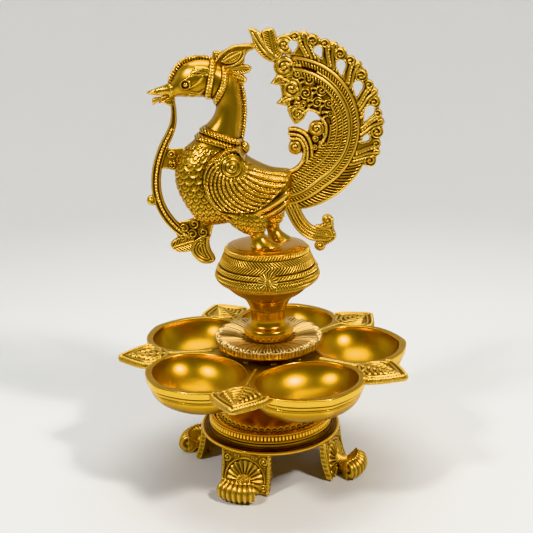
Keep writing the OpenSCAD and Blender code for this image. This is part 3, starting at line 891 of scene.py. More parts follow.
COARSE_ROUNDS, FINE_ROUNDS, EDGE_ROUNDS = 3500, 400, 60     # rounds of smoothing for the membrane


def relaxed(u, free, rounds, load):
    """Jacobi rounds for a membrane over the free cells, pushed out by an even load."""
    for _ in range(rounds):
        mean = 0.25 * (u[:-2, 1:-1] + u[2:, 1:-1] + u[1:-1, :-2] + u[1:-1, 2:])
        u[1:-1, 1:-1] = np.where(free[1:-1, 1:-1], mean + load, u[1:-1, 1:-1])
    return u


def inflated(x, z, outline, step):
    """A membrane blown up over an outline: half the square of the body's half width."""
    coarse = np.s_[::2, ::2]
    rough_d = inside_distance(x[coarse], z[coarse], outline)
    rough = relaxed(np.zeros(rough_d.shape), rough_d > 0, COARSE_ROUNDS, 0.25 * (2 * step) ** 2)
    u = np.zeros(x.shape)
    wide = np.repeat(np.repeat(rough, 2, 0), 2, 1)[:x.shape[0], :x.shape[1]]
    u[:wide.shape[0], :wide.shape[1]] = wide
    d = inside_distance(x, z, outline)
    u = relaxed(np.where(d > 0, u, 0), d > 0, FINE_ROUNDS, 0.25 * step ** 2)
    # close to the outline, the membrane rises in step with the exact distance
    known = d > 4 * step
    slope = relaxed(np.where(known, u / np.where(known, d, 1), 6.0), ~known, EDGE_ROUNDS, 0.0)
    return np.where(known, u, slope * d), d


def feather_fan(x, z):
    """Which feather of the wing a place lies on, from the wing's front edge at 0, and its reach."""
    dx, dz = x - SHOULDER[0], z - SHOULDER[1]
    reach = np.hypot(dx, dz)
    turn = np.mod(np.degrees(np.arctan2(dz, dx)) - 60, 360) + 60
    t = np.clip(reach - 9.5, -6, 32)
    root = (turn - FEATHER_CURL * t) / (1 - 0.0213 * t)
    return (root - 150) / FEATHER_WIDTH, reach


def strip(x, z, path, width, height, bead=None, hatch=None):
    """A rounded band along a path, beaded or hatched."""
    side, travel = along(x, z, path)
    crown = height
    if bead:
        crown = crown - bead[1] * (1 - beads(travel, bead[0]))
    if hatch:
        crown = crown - hatch[1] * wave(travel + hatch[2] * side, hatch[0])
    return crown * dome(side / width)


WING_OUTLINE = [
    (-31, 227.5), (-37, 222), (-40.4, 214), (-40.6, 206), (-38.2, 198), (-33.6, 191.6), (-28, 188.8),
    (-18, 187.4), (-8, 188), (-1, 191.2), (6, 197), (14, 205), (18.4, 212.4), (8, 215), (-3, 219.4),
    (-12, 225), (-17, 231), (-24, 231)]
ROSETTE = (-21.6, 219.0)
FEATHER_RIB = 0.52          # where a feather's rib lies across its width


def plumage(x, z, d):
    """The wing's feathers: each a step in the fan, with a beaded rib and fine slanting vanes."""
    feather, reach = feather_fan(x, z)
    share = feather - np.floor(feather)
    from_rib = np.abs(share - FEATHER_RIB)
    layer = 1.15 * share ** 0.75 - 0.5
    rib = 0.75 * bump(share, FEATHER_RIB, 0.13) * (0.45 + 0.55 * beads(reach, 1.75))
    vane = 0.30 * wave(reach + 3.2 * from_rib, 1.6) * (from_rib > 0.16)
    gap = -0.9 * bump(share, 0.0, 0.08) - 0.9 * bump(share, 1.0, 0.06)
    return (layer + rib + vane + gap) * clamp((reach - 8.5) / 2) * (d > 0.6)


def shoulder(x, z):
    """A rosette on the shoulder, in a ring of small scallops."""
    dx, dz = x - ROSETTE[0], z - ROSETTE[1]
    rho, turn = np.hypot(dx, dz), np.arctan2(dz, dx)
    flower = (0.9 * dome(rho / 8.8) + 0.55 * wave(rho, 2.7)) * (rho < 8.2)
    scallop = 0.7 * dome((rho - 9.6) / 1.7) * (0.35 + 0.65 * beads(turn * 9.6, 2.6))
    return np.maximum(flower, scallop)


def wing_relief(x, z):
    """The wing's height over the bird's side, and the distance to the wing's outline."""
    d = inside_distance(x, z, loop(WING_OUTLINE))
    lift = 1.7 * dome(1 - clamp(d / 2.2))
    rim = 0.9 * bump(d, 1.5, 0.8)
    return np.where(d > 0, lift + plumage(x, z, d) + rim + shoulder(x, z), 0), d


def eye_relief(x, z):
    """A ringed eye in a raised almond."""
    rho = np.hypot(x + 50.0, z - 271.4)
    h = 0.85 * bump(rho, 3.0, 0.55) + 0.7 * dome(rho / 1.7) - 0.35 * bump(rho, 2.1, 0.4)
    almond = loop([
        (-52.4, 268.8), (-46.6, 269.4), (-41.6, 272.4), (-38.4, 276.8), (-43.6, 277.8), (-48.6, 276),
        (-53, 272.4)])
    d = inside_distance(x, z, almond)
    return h + (0.75 * bump(d, 0.1, 0.55) + 0.3 * clamp(d / 2))


def head_relief(x, z):
    """Eye, brow, gills, mouth and the two beaded bands of the bridle."""
    h = eye_relief(x, z)
    for k in range(3):
        brow = [(-45.5 + 1.2 * k, 278.8 + 1.4 * k), (-40.5 + k, 279.6 + 1.0 * k),
                (-36 + 0.6 * k, 277.6 + 1.6 * k)]
        h += strip(x, z, smooth_path(brow, 5), 0.8, 0.6)
    for k in range(3):
        gill = [(-46.5 - 1.4 * k, 266.4 - 1.5 * k), (-42 - 1.0 * k, 265.8 - 1.3 * k),
                (-38.5 - 0.6 * k, 267.8 - 1.2 * k)]
        h += strip(x, z, smooth_path(gill, 5), 0.7, 0.55)
    mouth, _ = along(x, z, smooth_path([(-62.5, 263.6), (-59, 265.2), (-55.5, 265.4), (-53, 264)], 5))
    h -= 0.8 * bump(mouth, 0, 0.55)
    beak_root, _ = along(x, z, smooth_path([(-62, 272), (-59.6, 268.8), (-59, 265.4)], 5))
    h += 0.5 * bump(beak_root, 0, 0.7)
    for band in (
            [(-31.6, 287), (-32.6, 280), (-33.8, 273), (-35.2, 267), (-36.6, 259)],
            [(-24.4, 283), (-24.2, 276), (-25.8, 270), (-28.6, 264.6), (-33, 258)]):
        h = np.maximum(h, strip(x, z, smooth_path(band, 6), 2.1, 1.7, bead=(2.0, 1.0)))
    return h


def neck_relief(x, z):
    """Two ropes of a necklace."""
    h = np.zeros(x.shape)
    upper = smooth_path([(-45.4, 241.8), (-38, 241.2), (-30, 238.4), (-22, 235.2), (-14, 232.6)], 5)
    lower = smooth_path([(-49.4, 237.2), (-42, 237.2), (-33, 235.0), (-24, 232.0), (-16, 229.4)], 5)
    for path in (upper, lower):
        h = np.maximum(h, strip(x, z, path, 2.2, 2.1, hatch=(2.1, 0.9, 0.55)))
    between = smooth_path([(-47, 239.8), (-40, 239.2), (-31.5, 236.7), (-23, 233.6), (-15, 231)], 5)
    side, _ = along(x, z, between)
    return h - 0.7 * bump(side, 0, 0.7) * (z > 225) * (z < 242)


def side_relief(x, z):
    """What is drawn on the bird's two sides, as a height over its skin."""
    wing, wing_d = wing_relief(x, z)
    h = wing + head_relief(x, z) + neck_relief(x, z)
    band = smooth_path([(-38.6, 200), (-33, 192), (-26.4, 184), (-22, 179)], 4)
    h = np.maximum(h, strip(x, z, band, 1.5, 1.2))
    for path, wide in (
            ([(-8.5, 185.6), (3, 191), (17, 200.4)], 2.4), ([(-4, 182), (6, 186.8), (17, 194.4)], 2.2),
            ([(-2, 178.8), (8, 181.8), (16, 188)], 1.8)):
        h = np.maximum(h, strip(x, z, smooth_path(path, 5), wide, 1.7))
    skirt = smooth_path([(-32, 188.6), (-22, 185.6), (-12, 185.6), (-4, 188)], 5)
    h = np.maximum(h, strip(x, z, skirt, 1.4, 1.0, hatch=(1.8, 0.4, 0.4)))
    return h, wing_d


def tube(x, y, z, path, radius, hatch, depth):
    """Distance to a hatched ridge that runs along a path in the bird's plane."""
    side, travel = along(x[:, 0, :], z[:, 0, :], path)
    around = np.hypot(side[:, None, :], y)
    return around - (radius - depth * wave(travel, hatch))[:, None, :]


def smooth_union(a, b, soft):
    """Two fields joined, with a fillet of about soft between them."""
    share = clamp(0.5 + 0.5 * (b - a) / soft)
    return b + (a - b) * share - soft * share * (1 - share)


def leg(x, y, z, centre, flare, lean, thigh):
    """One leg: a scaled thigh, a short shank and a flared foot, down into the perch."""
    cx, cy = centre
    ahead, half, thigh_z = thigh
    tx = cx - ahead + 0.35 * (thigh_z - z)
    ring = np.hypot((x - tx) / half, (y - cy) / 7.6)
    egg = (np.sqrt(ring ** 2 + ((z - thigh_z) / 12.0) ** 2) - 1) * 8.0
    pattern = scales(half * np.arctan2(y - cy, x - tx) * np.sign(cy), z + 0.15 * x, 5.2, 3.6)
    egg = egg - 1.0 * (pattern - 0.3)
    t = clamp((176 - z) / 12.5)
    middle = cx + lean * t + 0.5 * flare * t ** 2.2
    long = 4.7 + (flare - 4.7) * clamp((t - 0.45) / 0.55) ** 1.6
    wide = 4.3 + 3.6 * clamp((t - 0.5) / 0.5) ** 1.6
    shank = (np.hypot((x - middle) / long, (y - cy) / wide) - 1) * np.minimum(long, wide)
    shank = overlap(shank, z - 180, 162.4 - z)
    cuff = 0.8 * bump(z, 174.6, 1.0)
    return smooth_union(egg, shank - cuff, 3.0)


def trunk(x, z):
    """The membrane over the bird's outline, and the distance to the outline."""
    u, d = inflated(x, z, loop(BIRD_OUTLINE, 3), BIRD_STEP)
    # the trunk is a little flatter than a blown-up bag
    half = np.sqrt(np.maximum(2 * u, 0))
    return np.where(u > 0, u * (1 - 0.20 * clamp((half - 10) / 12)) ** 2, u), d


def breast_scales(x, y, z, wing_d):
    """Scales that wrap round the breast, from under the necklace to the belly."""
    wrap = 27.0 * np.arctan2(np.abs(y), -(x + 30.0))
    necklace = -0.28 * (x + 49) + 235.2
    where = clamp((necklace - z) / 1.5) * clamp(-wing_d / 0.8)[:, None, :]
    where = where * clamp((-24.5 - x) / 2.0)
    return 1.3 * (scales(wrap, z - 0.1 * x, 6.8, 4.5) - 0.3) * where


def upper_beak(x, y, z):
    """A cone, a little narrower than it is high."""
    t = np.clip((-61.9 - x) / 14.2, -0.3, 1)
    cone = np.hypot(1.25 * y, z - (267.3 - 1.9 * t)) - (0.4 + 3.0 * clamp(1 - t) ** 0.7)
    return overlap(cone, x + 59, -76.2 - x)


def neck_knot(x, y, z):
    """The ribbed ball at the back of the neck, where the necklace ends."""
    ball = np.sqrt((x + 14.2) ** 2 + y ** 2 + (z - 228.4) ** 2)
    return ball - 4.0 - 0.5 * wave(np.arctan2(y, x + 14.2) * 4.0 + z - 228, 1.9)


def cells(axis, low, high):
    """The grid cells of the bird's field from low to high along an axis. None leaves an end open."""
    start, end = (None if v is None else int((v - BIRD_LOW[axis]) / BIRD_STEP) for v in (low, high))
    return slice(start, end)


def across(plane):
    """A map of the bird's plane, spread across its width."""
    return plane.astype(np.float32)[:, None, :]


def make_bird():
    """The bird's field, built up from its membrane, its relief, its scales and its legs."""
    xs, ys, zs = (a + BIRD_STEP * np.arange(int(math.ceil((b - a) / BIRD_STEP)) + 1)
                  for a, b in zip(BIRD_LOW, BIRD_HIGH))
    x2, z2 = np.meshgrid(xs, zs, indexing="ij")
    u, d = trunk(x2, z2)
    ux, uz = np.gradient(u, BIRD_STEP)
    x, y, z = (a.astype(np.float32) for a in np.meshgrid(xs, ys, zs, indexing="ij"))
    steep = across(ux ** 2 + uz ** 2)
    field = (y ** 2 - 2 * across(u)) / (2 * np.sqrt(y ** 2 + steep + 0.05))

    relief, wing_d = side_relief(x2, z2)
    # the back stays clear of what is drawn on the sides, and has its own row of feathers
    back = (x2 > -13) & (z2 > 200) & (z2 < 240)
    relief = np.where(back, relief * clamp(d / 3.0 - 0.3), relief)
    field -= across(relief)
    feathers = 0.8 * (wave(x + 0.8 * np.abs(y), 3.2) - 0.5) * clamp((9 - np.abs(y)) / 2)
    field -= (feathers * (back & (wing_d < -0.8) & (x2 < 18))[:, None, :]).astype(np.float32)
    w = (cells(0, None, -8), slice(None), cells(2, 175, 236))     # the breast's part of the grid
    field[w] -= breast_scales(x[w], y[w], z[w], wing_d[w[0], w[2]]).astype(np.float32)

    comb = smooth_path([
        (-60.2, 271.6), (-59.6, 275), (-56.4, 280.6), (-51.6, 285.2), (-46, 287), (-39, 287.4),
        (-33, 286.2)], 5)
    nape = smooth_path([
        (-15.0, 271), (-13.4, 264), (-12.8, 256), (-13.0, 249), (-14.2, 240), (-15.6, 233)], 5)
    field = np.minimum(field, tube(x, y, z, comb, 2.2, 1.85, 1.0))
    field = np.minimum(field, tube(x, y, z, nape, 2.1, 1.7, 0.9))
    field = smooth_union(field, upper_beak(x, y, z), 0.8)
    field = smooth_union(field, neck_knot(x, y, z), 1.2)
    w = (cells(0, -39, None), slice(None), cells(2, None, 203.5))    # the legs' part of the grid
    for centre, flare, lean, thigh in (
            ((-7.4, -8.5), 10.4, 1.6, (6.0, 13.0, 184.0)), ((2.6, 9.0), 8.2, 2.8, (2.0, 11.0, 186.0))):
        field[w] = smooth_union(field[w], leg(x[w], y[w], z[w], centre, flare, lean, thigh), 2.2)
    obj = mesh_object("bird_casting", *surface_of(field, BIRD_LOW, BIRD_STEP))
    finish_piece(obj, bird_brass, "finial", "bird_brass", "bird_body")


make_bird()

# ---------------------------------------------------------------- turned pieces

AROUND = 720                # points round a turned piece


def fine_profile(points, step):
    """A closed outline, as (radius, height), cut into even steps. Sharp corners are kept."""
    p = np.asarray(points, float)
    parts = []
    for a, b in zip(p, np.vstack([p[1:], p[:1]])):
        n = max(1, int(round(np.hypot(*(b - a)) / step)))
        parts.append(a + (b - a) * (np.arange(n) / n)[:, None])
    return np.vstack(parts)


def lathe(name, points, step, detail=None, around=AROUND):
    """A lathe mesh. detail(r, z, angle, nr, nz) gives how far the skin stands out, in millimetres."""
    p = fine_profile(points, step)
    before, after = np.roll(p, 1, 0), np.roll(p, -1, 0)
    tangent = after - before
    tangent /= np.maximum(np.hypot(tangent[:, 0], tangent[:, 1]), 1e-9)[:, None]
    nr, nz = tangent[:, 1], -tangent[:, 0]
    angle = 2 * math.pi * np.arange(around) / around
    r = np.repeat(p[:, 0:1], around, 1)
    z = np.repeat(p[:, 1:2], around, 1)
    nr, nz = nr[:, None], nz[:, None]
    if detail is not None:
        lift = detail(r, z, angle[None, :] + 0 * r, nr, nz)
        r = r + lift * nr
        z = z + lift * nz
    grid = np.stack([r * np.cos(angle), r * np.sin(angle), z], 2).reshape(-1, 3)
    rows = len(p)
    i, j = np.meshgrid(np.arange(rows), np.arange(around), indexing="ij")
    i2, j2 = (i + 1) % rows, (j + 1) % around
    quads = np.stack([
        i * around + j, i * around + j2, i2 * around + j2, i2 * around + j], 2).reshape(-1, 4)
    return mesh_object(name, grid, quads)


def rounded(points, radius, count=4):
    """A closed outline whose corners are rounded off."""
    p = np.asarray(points, float)
    out = []
    for before, here, after in zip(np.roll(p, 1, 0), p, np.roll(p, -1, 0)):
        a, b = before - here, after - here
        la, lb = np.hypot(*a), np.hypot(*b)
        cut = min(radius, 0.45 * la, 0.45 * lb)
        start, end = here + a / la * cut, here + b / lb * cut
        for t in np.linspace(0, 1, count):
            out.append((1 - t) ** 2 * start + 2 * t * (1 - t) * here + t ** 2 * end)
    return np.array(out)


def within(value, low, high, edge=0.3):
    """1 between low and high, falling softly to 0 over edge on each side."""
    return clamp((value - low) / edge + 0.5) * clamp((high - value) / edge + 0.5)


BEAD_RING, BEADS = 42.6, 108     # the radius and the number of the upright beads


def make_base_plate():
    """The flanged disc: thin bright rim, hollowed channel and a ring of upright beads."""
    outline = [
        (4.2, 28), (49, 28), (49.3, 28.6), (49.3, 29.6), (48.7, 30.3), (48.0, 30.1), (47.0, 29.5),
        (45.4, 29.3), (43.8, 29.8), (42.7, 31.2), (42.5, 33.0), (43.2, 33.7), (43.5, 34.2), (43.2, 34.8),
        (42.8, 35.1), (42.4, 38.9), (42.6, 39.3), (42.4, 39.8), (41.4, 40.0), (40.4, 39.8), (40.0, 39.2),
        (40.0, 32), (4.2, 32)]

    def detail(r, z, angle, nr, nz):
        band = within(z, 35.4, 38.7, 0.4) * (nr > 0.7) * (r > 41)
        pitch = 2 * math.pi * BEAD_RING / BEADS
        row = 1.6 * dome((np.mod(angle * BEAD_RING, pitch) / pitch * 2 - 1) * 1.15) - 0.9
        return band * row

    def patina_and_shading(r, z, up):
        # the channel between the beads and the rim is painted darker: old polish and painted shade
        return 0.3 * within(r, 42.9, 48.2, 0.5) * (z < 33.2) * (z > 28.4)
    obj = lathe("base_flange", rounded(outline, 0.35, 3), 0.32, detail, around=960)
    finish_piece(
        obj, turned_brass, "stand", "turned_brass", "base_plate", rounds=8, full=0.3, patina_and_shading=patina_and_shading)


def make_dome():
    """The ogee dome, with a row of engraved scallops round its foot."""
    skin = smooth_path([
        (39.8, 36.4), (38.8, 38.6), (36.6, 40.4), (33.5, 43.6), (28, 47.8), (22.5, 52), (18.6, 56.4),
        (16.7, 60.6), (16, 65.6)], 5)
    outline = np.vstack([[(39.8, 32)], skin, [
        (16, 66), (4.2, 66), (4.2, 61), (13.4, 61), (14, 59), (16, 54.6), (20, 49.8), (25.5, 45.6),
        (31, 41.3), (37.2, 36), (37.2, 32)]])

    def detail(r, z, angle, nr, nz):
        out = (nr > 0.05) & (r > 33) & (z > 39)
        rise = np.hypot(r - 38.8, z - 38.8)
        share = np.mod(angle * 37, 4.6) / 4.6 * 2 - 1
        arch = 3.6 * np.sqrt(clamp(1 - share ** 2)) + 0.5
        cut = bump(rise, arch, 0.42) + 0.8 * bump(rise, 0.55 * arch, 0.35) + 0.8 * bump(rise, 0.4, 0.35)
        return -0.8 * np.clip(cut, 0, 1.2) * out

    def patina_and_shading(r, z, up):
        # darker towards the dome's foot, where it meets the ring of beads
        return 0.35 * clamp((r - 33) / 4)
    obj = lathe("dome", outline, 0.42, detail, around=960)
    finish_piece(
        obj, turned_brass, "stand", "turned_brass", "base_dome", rounds=8, full=0.22, patina_and_shading=patina_and_shading)


PETALS = 24
PETAL_ROOT, PETAL_TIP = 18.0, 37.6     # radii


def lotus(r, z, angle, nr, nz):
    """A ring of long veined petals on the collar's dished top, and a fluted edge."""
    top = clamp((nz - 0.3) / 0.3)
    step = 2 * math.pi / PETALS
    share = (np.mod(angle / step + 0.5, 1) - 0.5) * 2
    run = np.clip((r - PETAL_ROOT) / (PETAL_TIP - PETAL_ROOT), 0, 1.2)
    tip = np.sqrt(clamp(1 - ((run - 0.72) / 0.29) ** 2))
    half = np.where(run < 0.72, 0.80 + 0.18 * run / 0.72, tip)
    rho = np.abs(share) / np.maximum(half, 0.02)
    body = 1.9 * dome(rho) + 0.4 * run
    veins = -1.0 * wave(share, 0.5) * clamp((1 - rho) * 4) * clamp(run * 4)
    lift = np.where((rho < 1) & (run < 1.0), body + veins, 0)
    edge = clamp((nr - 0.75) / 0.2) * (r > 35)
    scallop = 1.6 * dome((np.mod(angle / step + 0.5, 1) - 0.5) * 1.9) - 1.3
    flutes = 0.6 * wave(angle * 36.5, 2 * math.pi * 36.5 / (PETALS * 4))
    return top * (lift - 1.3) * clamp((r - PETAL_ROOT) / 1.2) + edge * (scallop + flutes)


def make_collar():
    """The dished collar, with petals on top and a fluted edge."""
    outline = [
        (4.1, 90.6), (16, 90.6), (18, 92.8), (32.5, 93.8), (33.4, 90.9), (35.4, 91.0), (36.4, 92.2),
        (36.7, 94), (36.7, 96.4), (36.0, 97.4), (34, 97.8), (30, 97.4), (24, 96.5), (19.6, 95.8),
        (17.6, 95), (4.1, 95)]
    obj = lathe("lotus_dish", rounded(outline, 0.5, 3), 0.4, lotus, around=960)
    finish_piece(obj, collar_brass, "tray", "cast_brass", "lotus_collar", rounds=8, full=0.3)


def make_stem():
    """The turned stem with its bulb, waist and flared head."""
    skin = smooth_path([
        (13.6, 95), (15.6, 96.2), (17, 98.6), (17.2, 101.2), (16.5, 103.4), (14.6, 104.8), (13.1, 105.4),
        (12.3, 107), (11.8, 109.8), (12, 113.6), (12.6, 117), (13.7, 120), (15.5, 123.2), (18.2, 126.2),
        (21.2, 128)], 6)
    outline = np.vstack([skin, [
        (3.1, 128), (3.1, 117), (0.2, 117), (0.2, 106.6), (4.1, 106.6), (4.1, 96), (8.1, 96), (8.1, 95)]])

    def detail(r, z, angle, nr, nz):
        grooves = bump(z, 104.9, 0.3) + bump(z, 125.4, 0.3) + 0.6 * bump(z, 116.6, 0.25)
        return -0.35 * grooves * (r > 11)
    obj = lathe("turned_stem", outline, 0.4, detail)
    finish_piece(obj, turned_brass, "stem", "turned_brass", "stem", rounds=6, full=0.5)


LOW_BAND, HIGH_BAND = (136.6, 144.6), (149.4, 157.2)     # the heights of the two engraved bands


def palmette(z, angle):
    """A fan of rays on the drum's front: its rays, its heart, and where it covers the bands."""
    turn = np.mod(angle + math.pi / 2 + math.pi, 2 * math.pi) - math.pi
    px, pz = turn * 32, z - 145.4
    rho = np.hypot(px, pz)
    fan = 0.7 * wave(np.arctan2(pz, px) * 4.2, math.pi * 4.2 / 9) * within(rho, 1.2, 6.0, 1.0)
    heart = 0.6 * dome(rho / 1.6)
    return fan, heart, clamp((6.4 - rho) / 1.0)


def make_drum():
    """The pedestal: a smooth bowl under two engraved bands, a raised cord and a cabled rim."""
    skin = smooth_path([(21.4, 128), (24.5, 130.2), (29, 134.4)], 5)
    upper = [
        (31.2, 136.4), (34.4, 139.6), (35.2, 141.6), (34.4, 144.4), (31.8, 149.4), (29.4, 155),
        (27.6, 159.2)]
    outline = np.vstack([skin, upper, [
        (27.0, 160), (24.6, 160), (24.6, 158), (27, 154), (31.4, 142), (29, 139), (23.5, 133.4),
        (15, 132), (3.1, 132), (3.1, 128)]])

    def detail(r, z, angle, nr, nz):
        out = (nr > 0.1).astype(float)
        arc = angle * 31.4
        low = within(z, *LOW_BAND, 0.5)
        row = np.mod(z - LOW_BAND[0], 2.7) - 1.35
        dashes = 1.1 * wave(arc + 1.3 * np.abs(row), 1.75) - 0.5 * bump(row, 0, 0.3)
        high = within(z, *HIGH_BAND, 0.5)
        chevron = 1.2 * wave(arc + 1.15 * np.abs(np.mod(z - HIGH_BAND[0], 7.8) - 3.9), 2.2)
        cord = within(z, 145.6, 148.2, 0.5) * (0.4 + 0.9 * wave(arc - 1.0 * z, 2.1))
        lines = -0.5 * (
            bump(z, 145.0, 0.3) + bump(z, 148.8, 0.3) + bump(z, 136.0, 0.35) + bump(z, 157.6, 0.3))
        rim = within(z, 157.8, 160.2, 0.4) * (0.2 + 1.1 * wave(arc - 0.9 * z, 2.2))
        fan, heart, plain = palmette(z, angle)
        field = low * (dashes - 0.25) + high * (chevron - 0.3) + cord + lines + rim
        return out * (field * (1 - plain) + plain * (fan - 0.1) + heart)
    obj = lathe("pedestal", outline, 0.3, detail, around=900)
    finish_piece(obj, cast_brass, "finial", "turned_brass", "pedestal_drum", rounds=8, full=0.3)


def make_perch():
    """The turned top of the pedestal, drawn up in a low swell round the bird's feet."""
    skin = smooth_path([
        (27.2, 160), (27.5, 160.5), (27.1, 161.1), (25.6, 161.7), (22.6, 162.6), (18, 163.2),
        (10, 163.5)], 5)
    outline = np.vstack([skin, [(3.1, 163.5), (3.1, 160)]])

    def detail(r, z, angle, nr, nz):
        grooves = bump(r, 23.8, 0.35) + 0.7 * bump(r, 25.2, 0.3)
        return -0.3 * grooves * (nz > 0.2)
    obj = lathe("perch", outline, 0.45, detail, around=480)
    finish_piece(obj, turned_brass, "finial", "turned_brass", "perch_cap", rounds=6, full=0.4)


make_base_plate()
make_dome()
make_collar()
make_stem()
make_drum()
make_perch()

# ---------------------------------------------------------------- wick tray

TRAY_TURN = -13.0 - 90.0    # the first leaf tab's direction, in degrees
CUPS = 5
CUP_STEP = 360 / CUPS
CUP_AT = 62                 # a cup's middle, from the axis
CUP_LENGTH, CUP_WIDTH = 29, 34.5     # from its middle to its rim, along the spout and across
RIM_Z = 86.6                # the cups' rims
TAB_Z = 84.5                # the middle of the leaf tabs


def cup_ring(turn, scale, grow, z):
    """One level of a cup, x along its spout. grow widens the outline, most at the spout."""
    soft = math.radians(5)
    spout = np.exp(-(np.sqrt(turn ** 2 + soft ** 2) - soft) / math.radians(13)) * scale ** 6
    x = CUP_AT + scale * (CUP_LENGTH + grow) * np.cos(turn) + (1.3 + 0.15 * grow) * spout
    y = scale * (CUP_WIDTH + grow) * np.sin(turn)
    # neighbours meet on the line half-way between them
    edge = math.tan(math.radians(CUP_STEP / 2)) * x
    y = np.clip(y, -edge, edge)
    return np.stack([x, y, np.full(x.shape, z)], 1)


def cup_levels():
    """Levels of a cup from the middle of its floor over the rim to the middle of its underside."""
    shares = (0.02, 0.12, 0.24, 0.36, 0.47, 0.57, 0.66, 0.74, 0.81, 0.87, 0.91, 0.945, 0.97, 0.985, 0.995)
    inside = [(s, 0, RIM_Z - 0.9 - 20.6 * (1 - s ** 2.4) ** 0.6) for s in shares]
    rim = [
        (1, 0.0, RIM_Z - 0.55), (1, 0.25, RIM_Z - 0.15), (1, 0.65, RIM_Z), (1, 2.3, RIM_Z + 0.1),
        (1, 3.9, RIM_Z), (1, 4.3, RIM_Z - 0.15), (1, 4.5, RIM_Z - 0.5)]
    wall = [
        (1, 4.5, 84.6), (1, 4.4, 82.6), (1, 4.0, 82.1), (1, 3.2, 81.8), (1, 3.1, 81.5), (1, 3.5, 81.2),
        (1, 3.4, 80.4), (1, 3.1, 79.4), (1, 2.3, 79.1), (1, 2.2, 78.8), (1, 2.6, 78.4), (1, 2.4, 77.8)]
    bowl = [(s, 2.2, RIM_Z - 9.0 - 15.0 * (1 - ((s - 0.02) / 0.97) ** 2.5) ** 0.56)
            for s in (0.99, 0.985, 0.97, 0.945, 0.91, 0.86, 0.80, 0.72, 0.62, 0.5, 0.36, 0.2, 0.02)]
    return inside + rim + wall + bowl


def make_cup(direction):
    """Points and quads of one cup. A point in the middle of each end closes it."""
    count = 180
    turn = (np.arange(count) / count * 2 - 1) * math.pi
    rings = np.array([cup_ring(turn, *level) for level in cup_levels()])
    # levels are filled in along each meridian, so that the polished bowl is smooth
    fine = []
    last = len(rings) - 1
    for k in range(last):
        near = [rings[min(max(k + n, 0), last)] for n in (-1, 0, 1, 2)]
        fine += [catmull_rom(*near, t) for t in (0.0, 0.5)]
    grid = about_axis(np.array(fine + [rings[-1]]), direction)
    rows = len(grid)
    points = grid.reshape(-1, 3)

    i, j = np.meshgrid(np.arange(rows - 1), np.arange(count), indexing="ij")
    after = (j + 1) % count
    wall = np.stack([i * count + j, (i + 1) * count + j, (i + 1) * count + after, i * count + after], 2)
    quads = [wall.reshape(-1, 4)]
    j = np.arange(0, count, 2)
    for ring, tip, order in ((0, len(points), 1), (rows - 1, len(points) + 1, -1)):
        first = ring * count
        fan = np.stack([np.full(len(j), tip), first + j, first + j + 1, first + (j + 2) % count], 1)
        quads.append(fan[:, ::order])
    ends = [points[:count].mean(0), points[-count:].mean(0)]
    return np.vstack([points, ends]), np.vstack(quads)


def make_tray():
    """Five cups round a web, polished inside and duller on the lip and outside; painted light inside,
    painted shade outside.
    """
    all_points, all_quads, base = [], [], 0
    for k in range(CUPS):
        points, quads = make_cup(TRAY_TURN + (k + 0.5) * CUP_STEP)
        all_points.append(points)
        all_quads.append(quads + base)
        base += len(points)

    def patina_and_shading(r, z, up):
        # painted shade on faces that look sideways or down, mostly the outside, a darker upward lip, and
        # painted light on the rest, mostly the insides
        outside = clamp(0.2 - 2 * up)
        lip = clamp((z - RIM_Z + 0.6) / 0.4) * (up > 0.5)
        return 0.6 * outside + 0.4 * lip - 0.3 * (1 - outside) * (1 - lip)
    cups = mesh_object("wick_cups", np.vstack(all_points), np.vstack(all_quads))
    finish_piece(cups, tray_brass, "tray", "tray_brass", "wick_tray", rounds=8, full=0.5, patina_and_shading=patina_and_shading)

    outline = [(14, 82.8), (30.5, 82.8), (30.5, 86.0), (24, 86.2), (14, 86.2)]
    web = lathe("tray_web", rounded(outline, 0.3, 3), 0.7, around=360)
    finish_piece(web, tray_brass, "tray", "tray_brass", rounds=4, full=0.5)


def tab_relief():
    """A leaf tab, seen from above: x along the leaf, from the axis outwards."""
    relief = Relief((22, -22), (107, 22), 0.35)
    # the root runs between two cups, under their rims, and widens where they part
    edge = [
        (24, -17.5), (31, -10.6), (39, -5.4), (47.5, -2.3), (56, -1.6), (64.5, -2.9), (71.5, -6.5),
        (77.4, -12.4), (81.4, -19.6), (86.6, -19.2), (92.4, -14.4), (98.6, -8.0), (104.6, -1.8)]
    outline = np.array(edge + [(105, 0)] + [(x, -z) for x, z in reversed(edge)])
    relief.plate(outline, 1.6, 1.0)
    for side in (-1, 1):
        border = smooth_path([(81.2, side * 17.4), (86, side * 17.4), (92, side * 12.8), (98, side * 6.7),
                              (103, side * 1.2)], 5)
        relief.strand(border, 1.35, 2.9, bead=(1.9, 0.8), base=1.2)
        inner = smooth_path([
            (79, side * 12.6), (85, side * 13.6), (90.5, side * 9.4), (96, side * 3.6), (99, 0)], 5)
        relief.strand(inner, 0.85, 2.6, base=1.4)
        for k in range(6):
            root = (70 + 4.5 * k, 0)
            tip = (79 + 3.2 * k, side * (11.6 - 2.0 * k))
            middle = (0.5 * (root[0] + tip[0]) - 0.8, 0.5 * tip[1] + side * 1.4)
            relief.strand(smooth_path([root, middle, tip], 5), 1.2, 2.9, base=1.0)
        for centre, radius in (((76, side * 5.6), 2.6), ((29, side * 9.5), 2.4)):
            relief.volute(centre, radius, 2.9, hand=side, turns=1.8, depth=0.9)
    relief.strand(
        smooth_path([(40, 0), (56, 0), (70, 0), (84, 0), (98, 0)]), 1.3, 2.9, bead=(2.0, 0.5), base=1.2)
    return relief


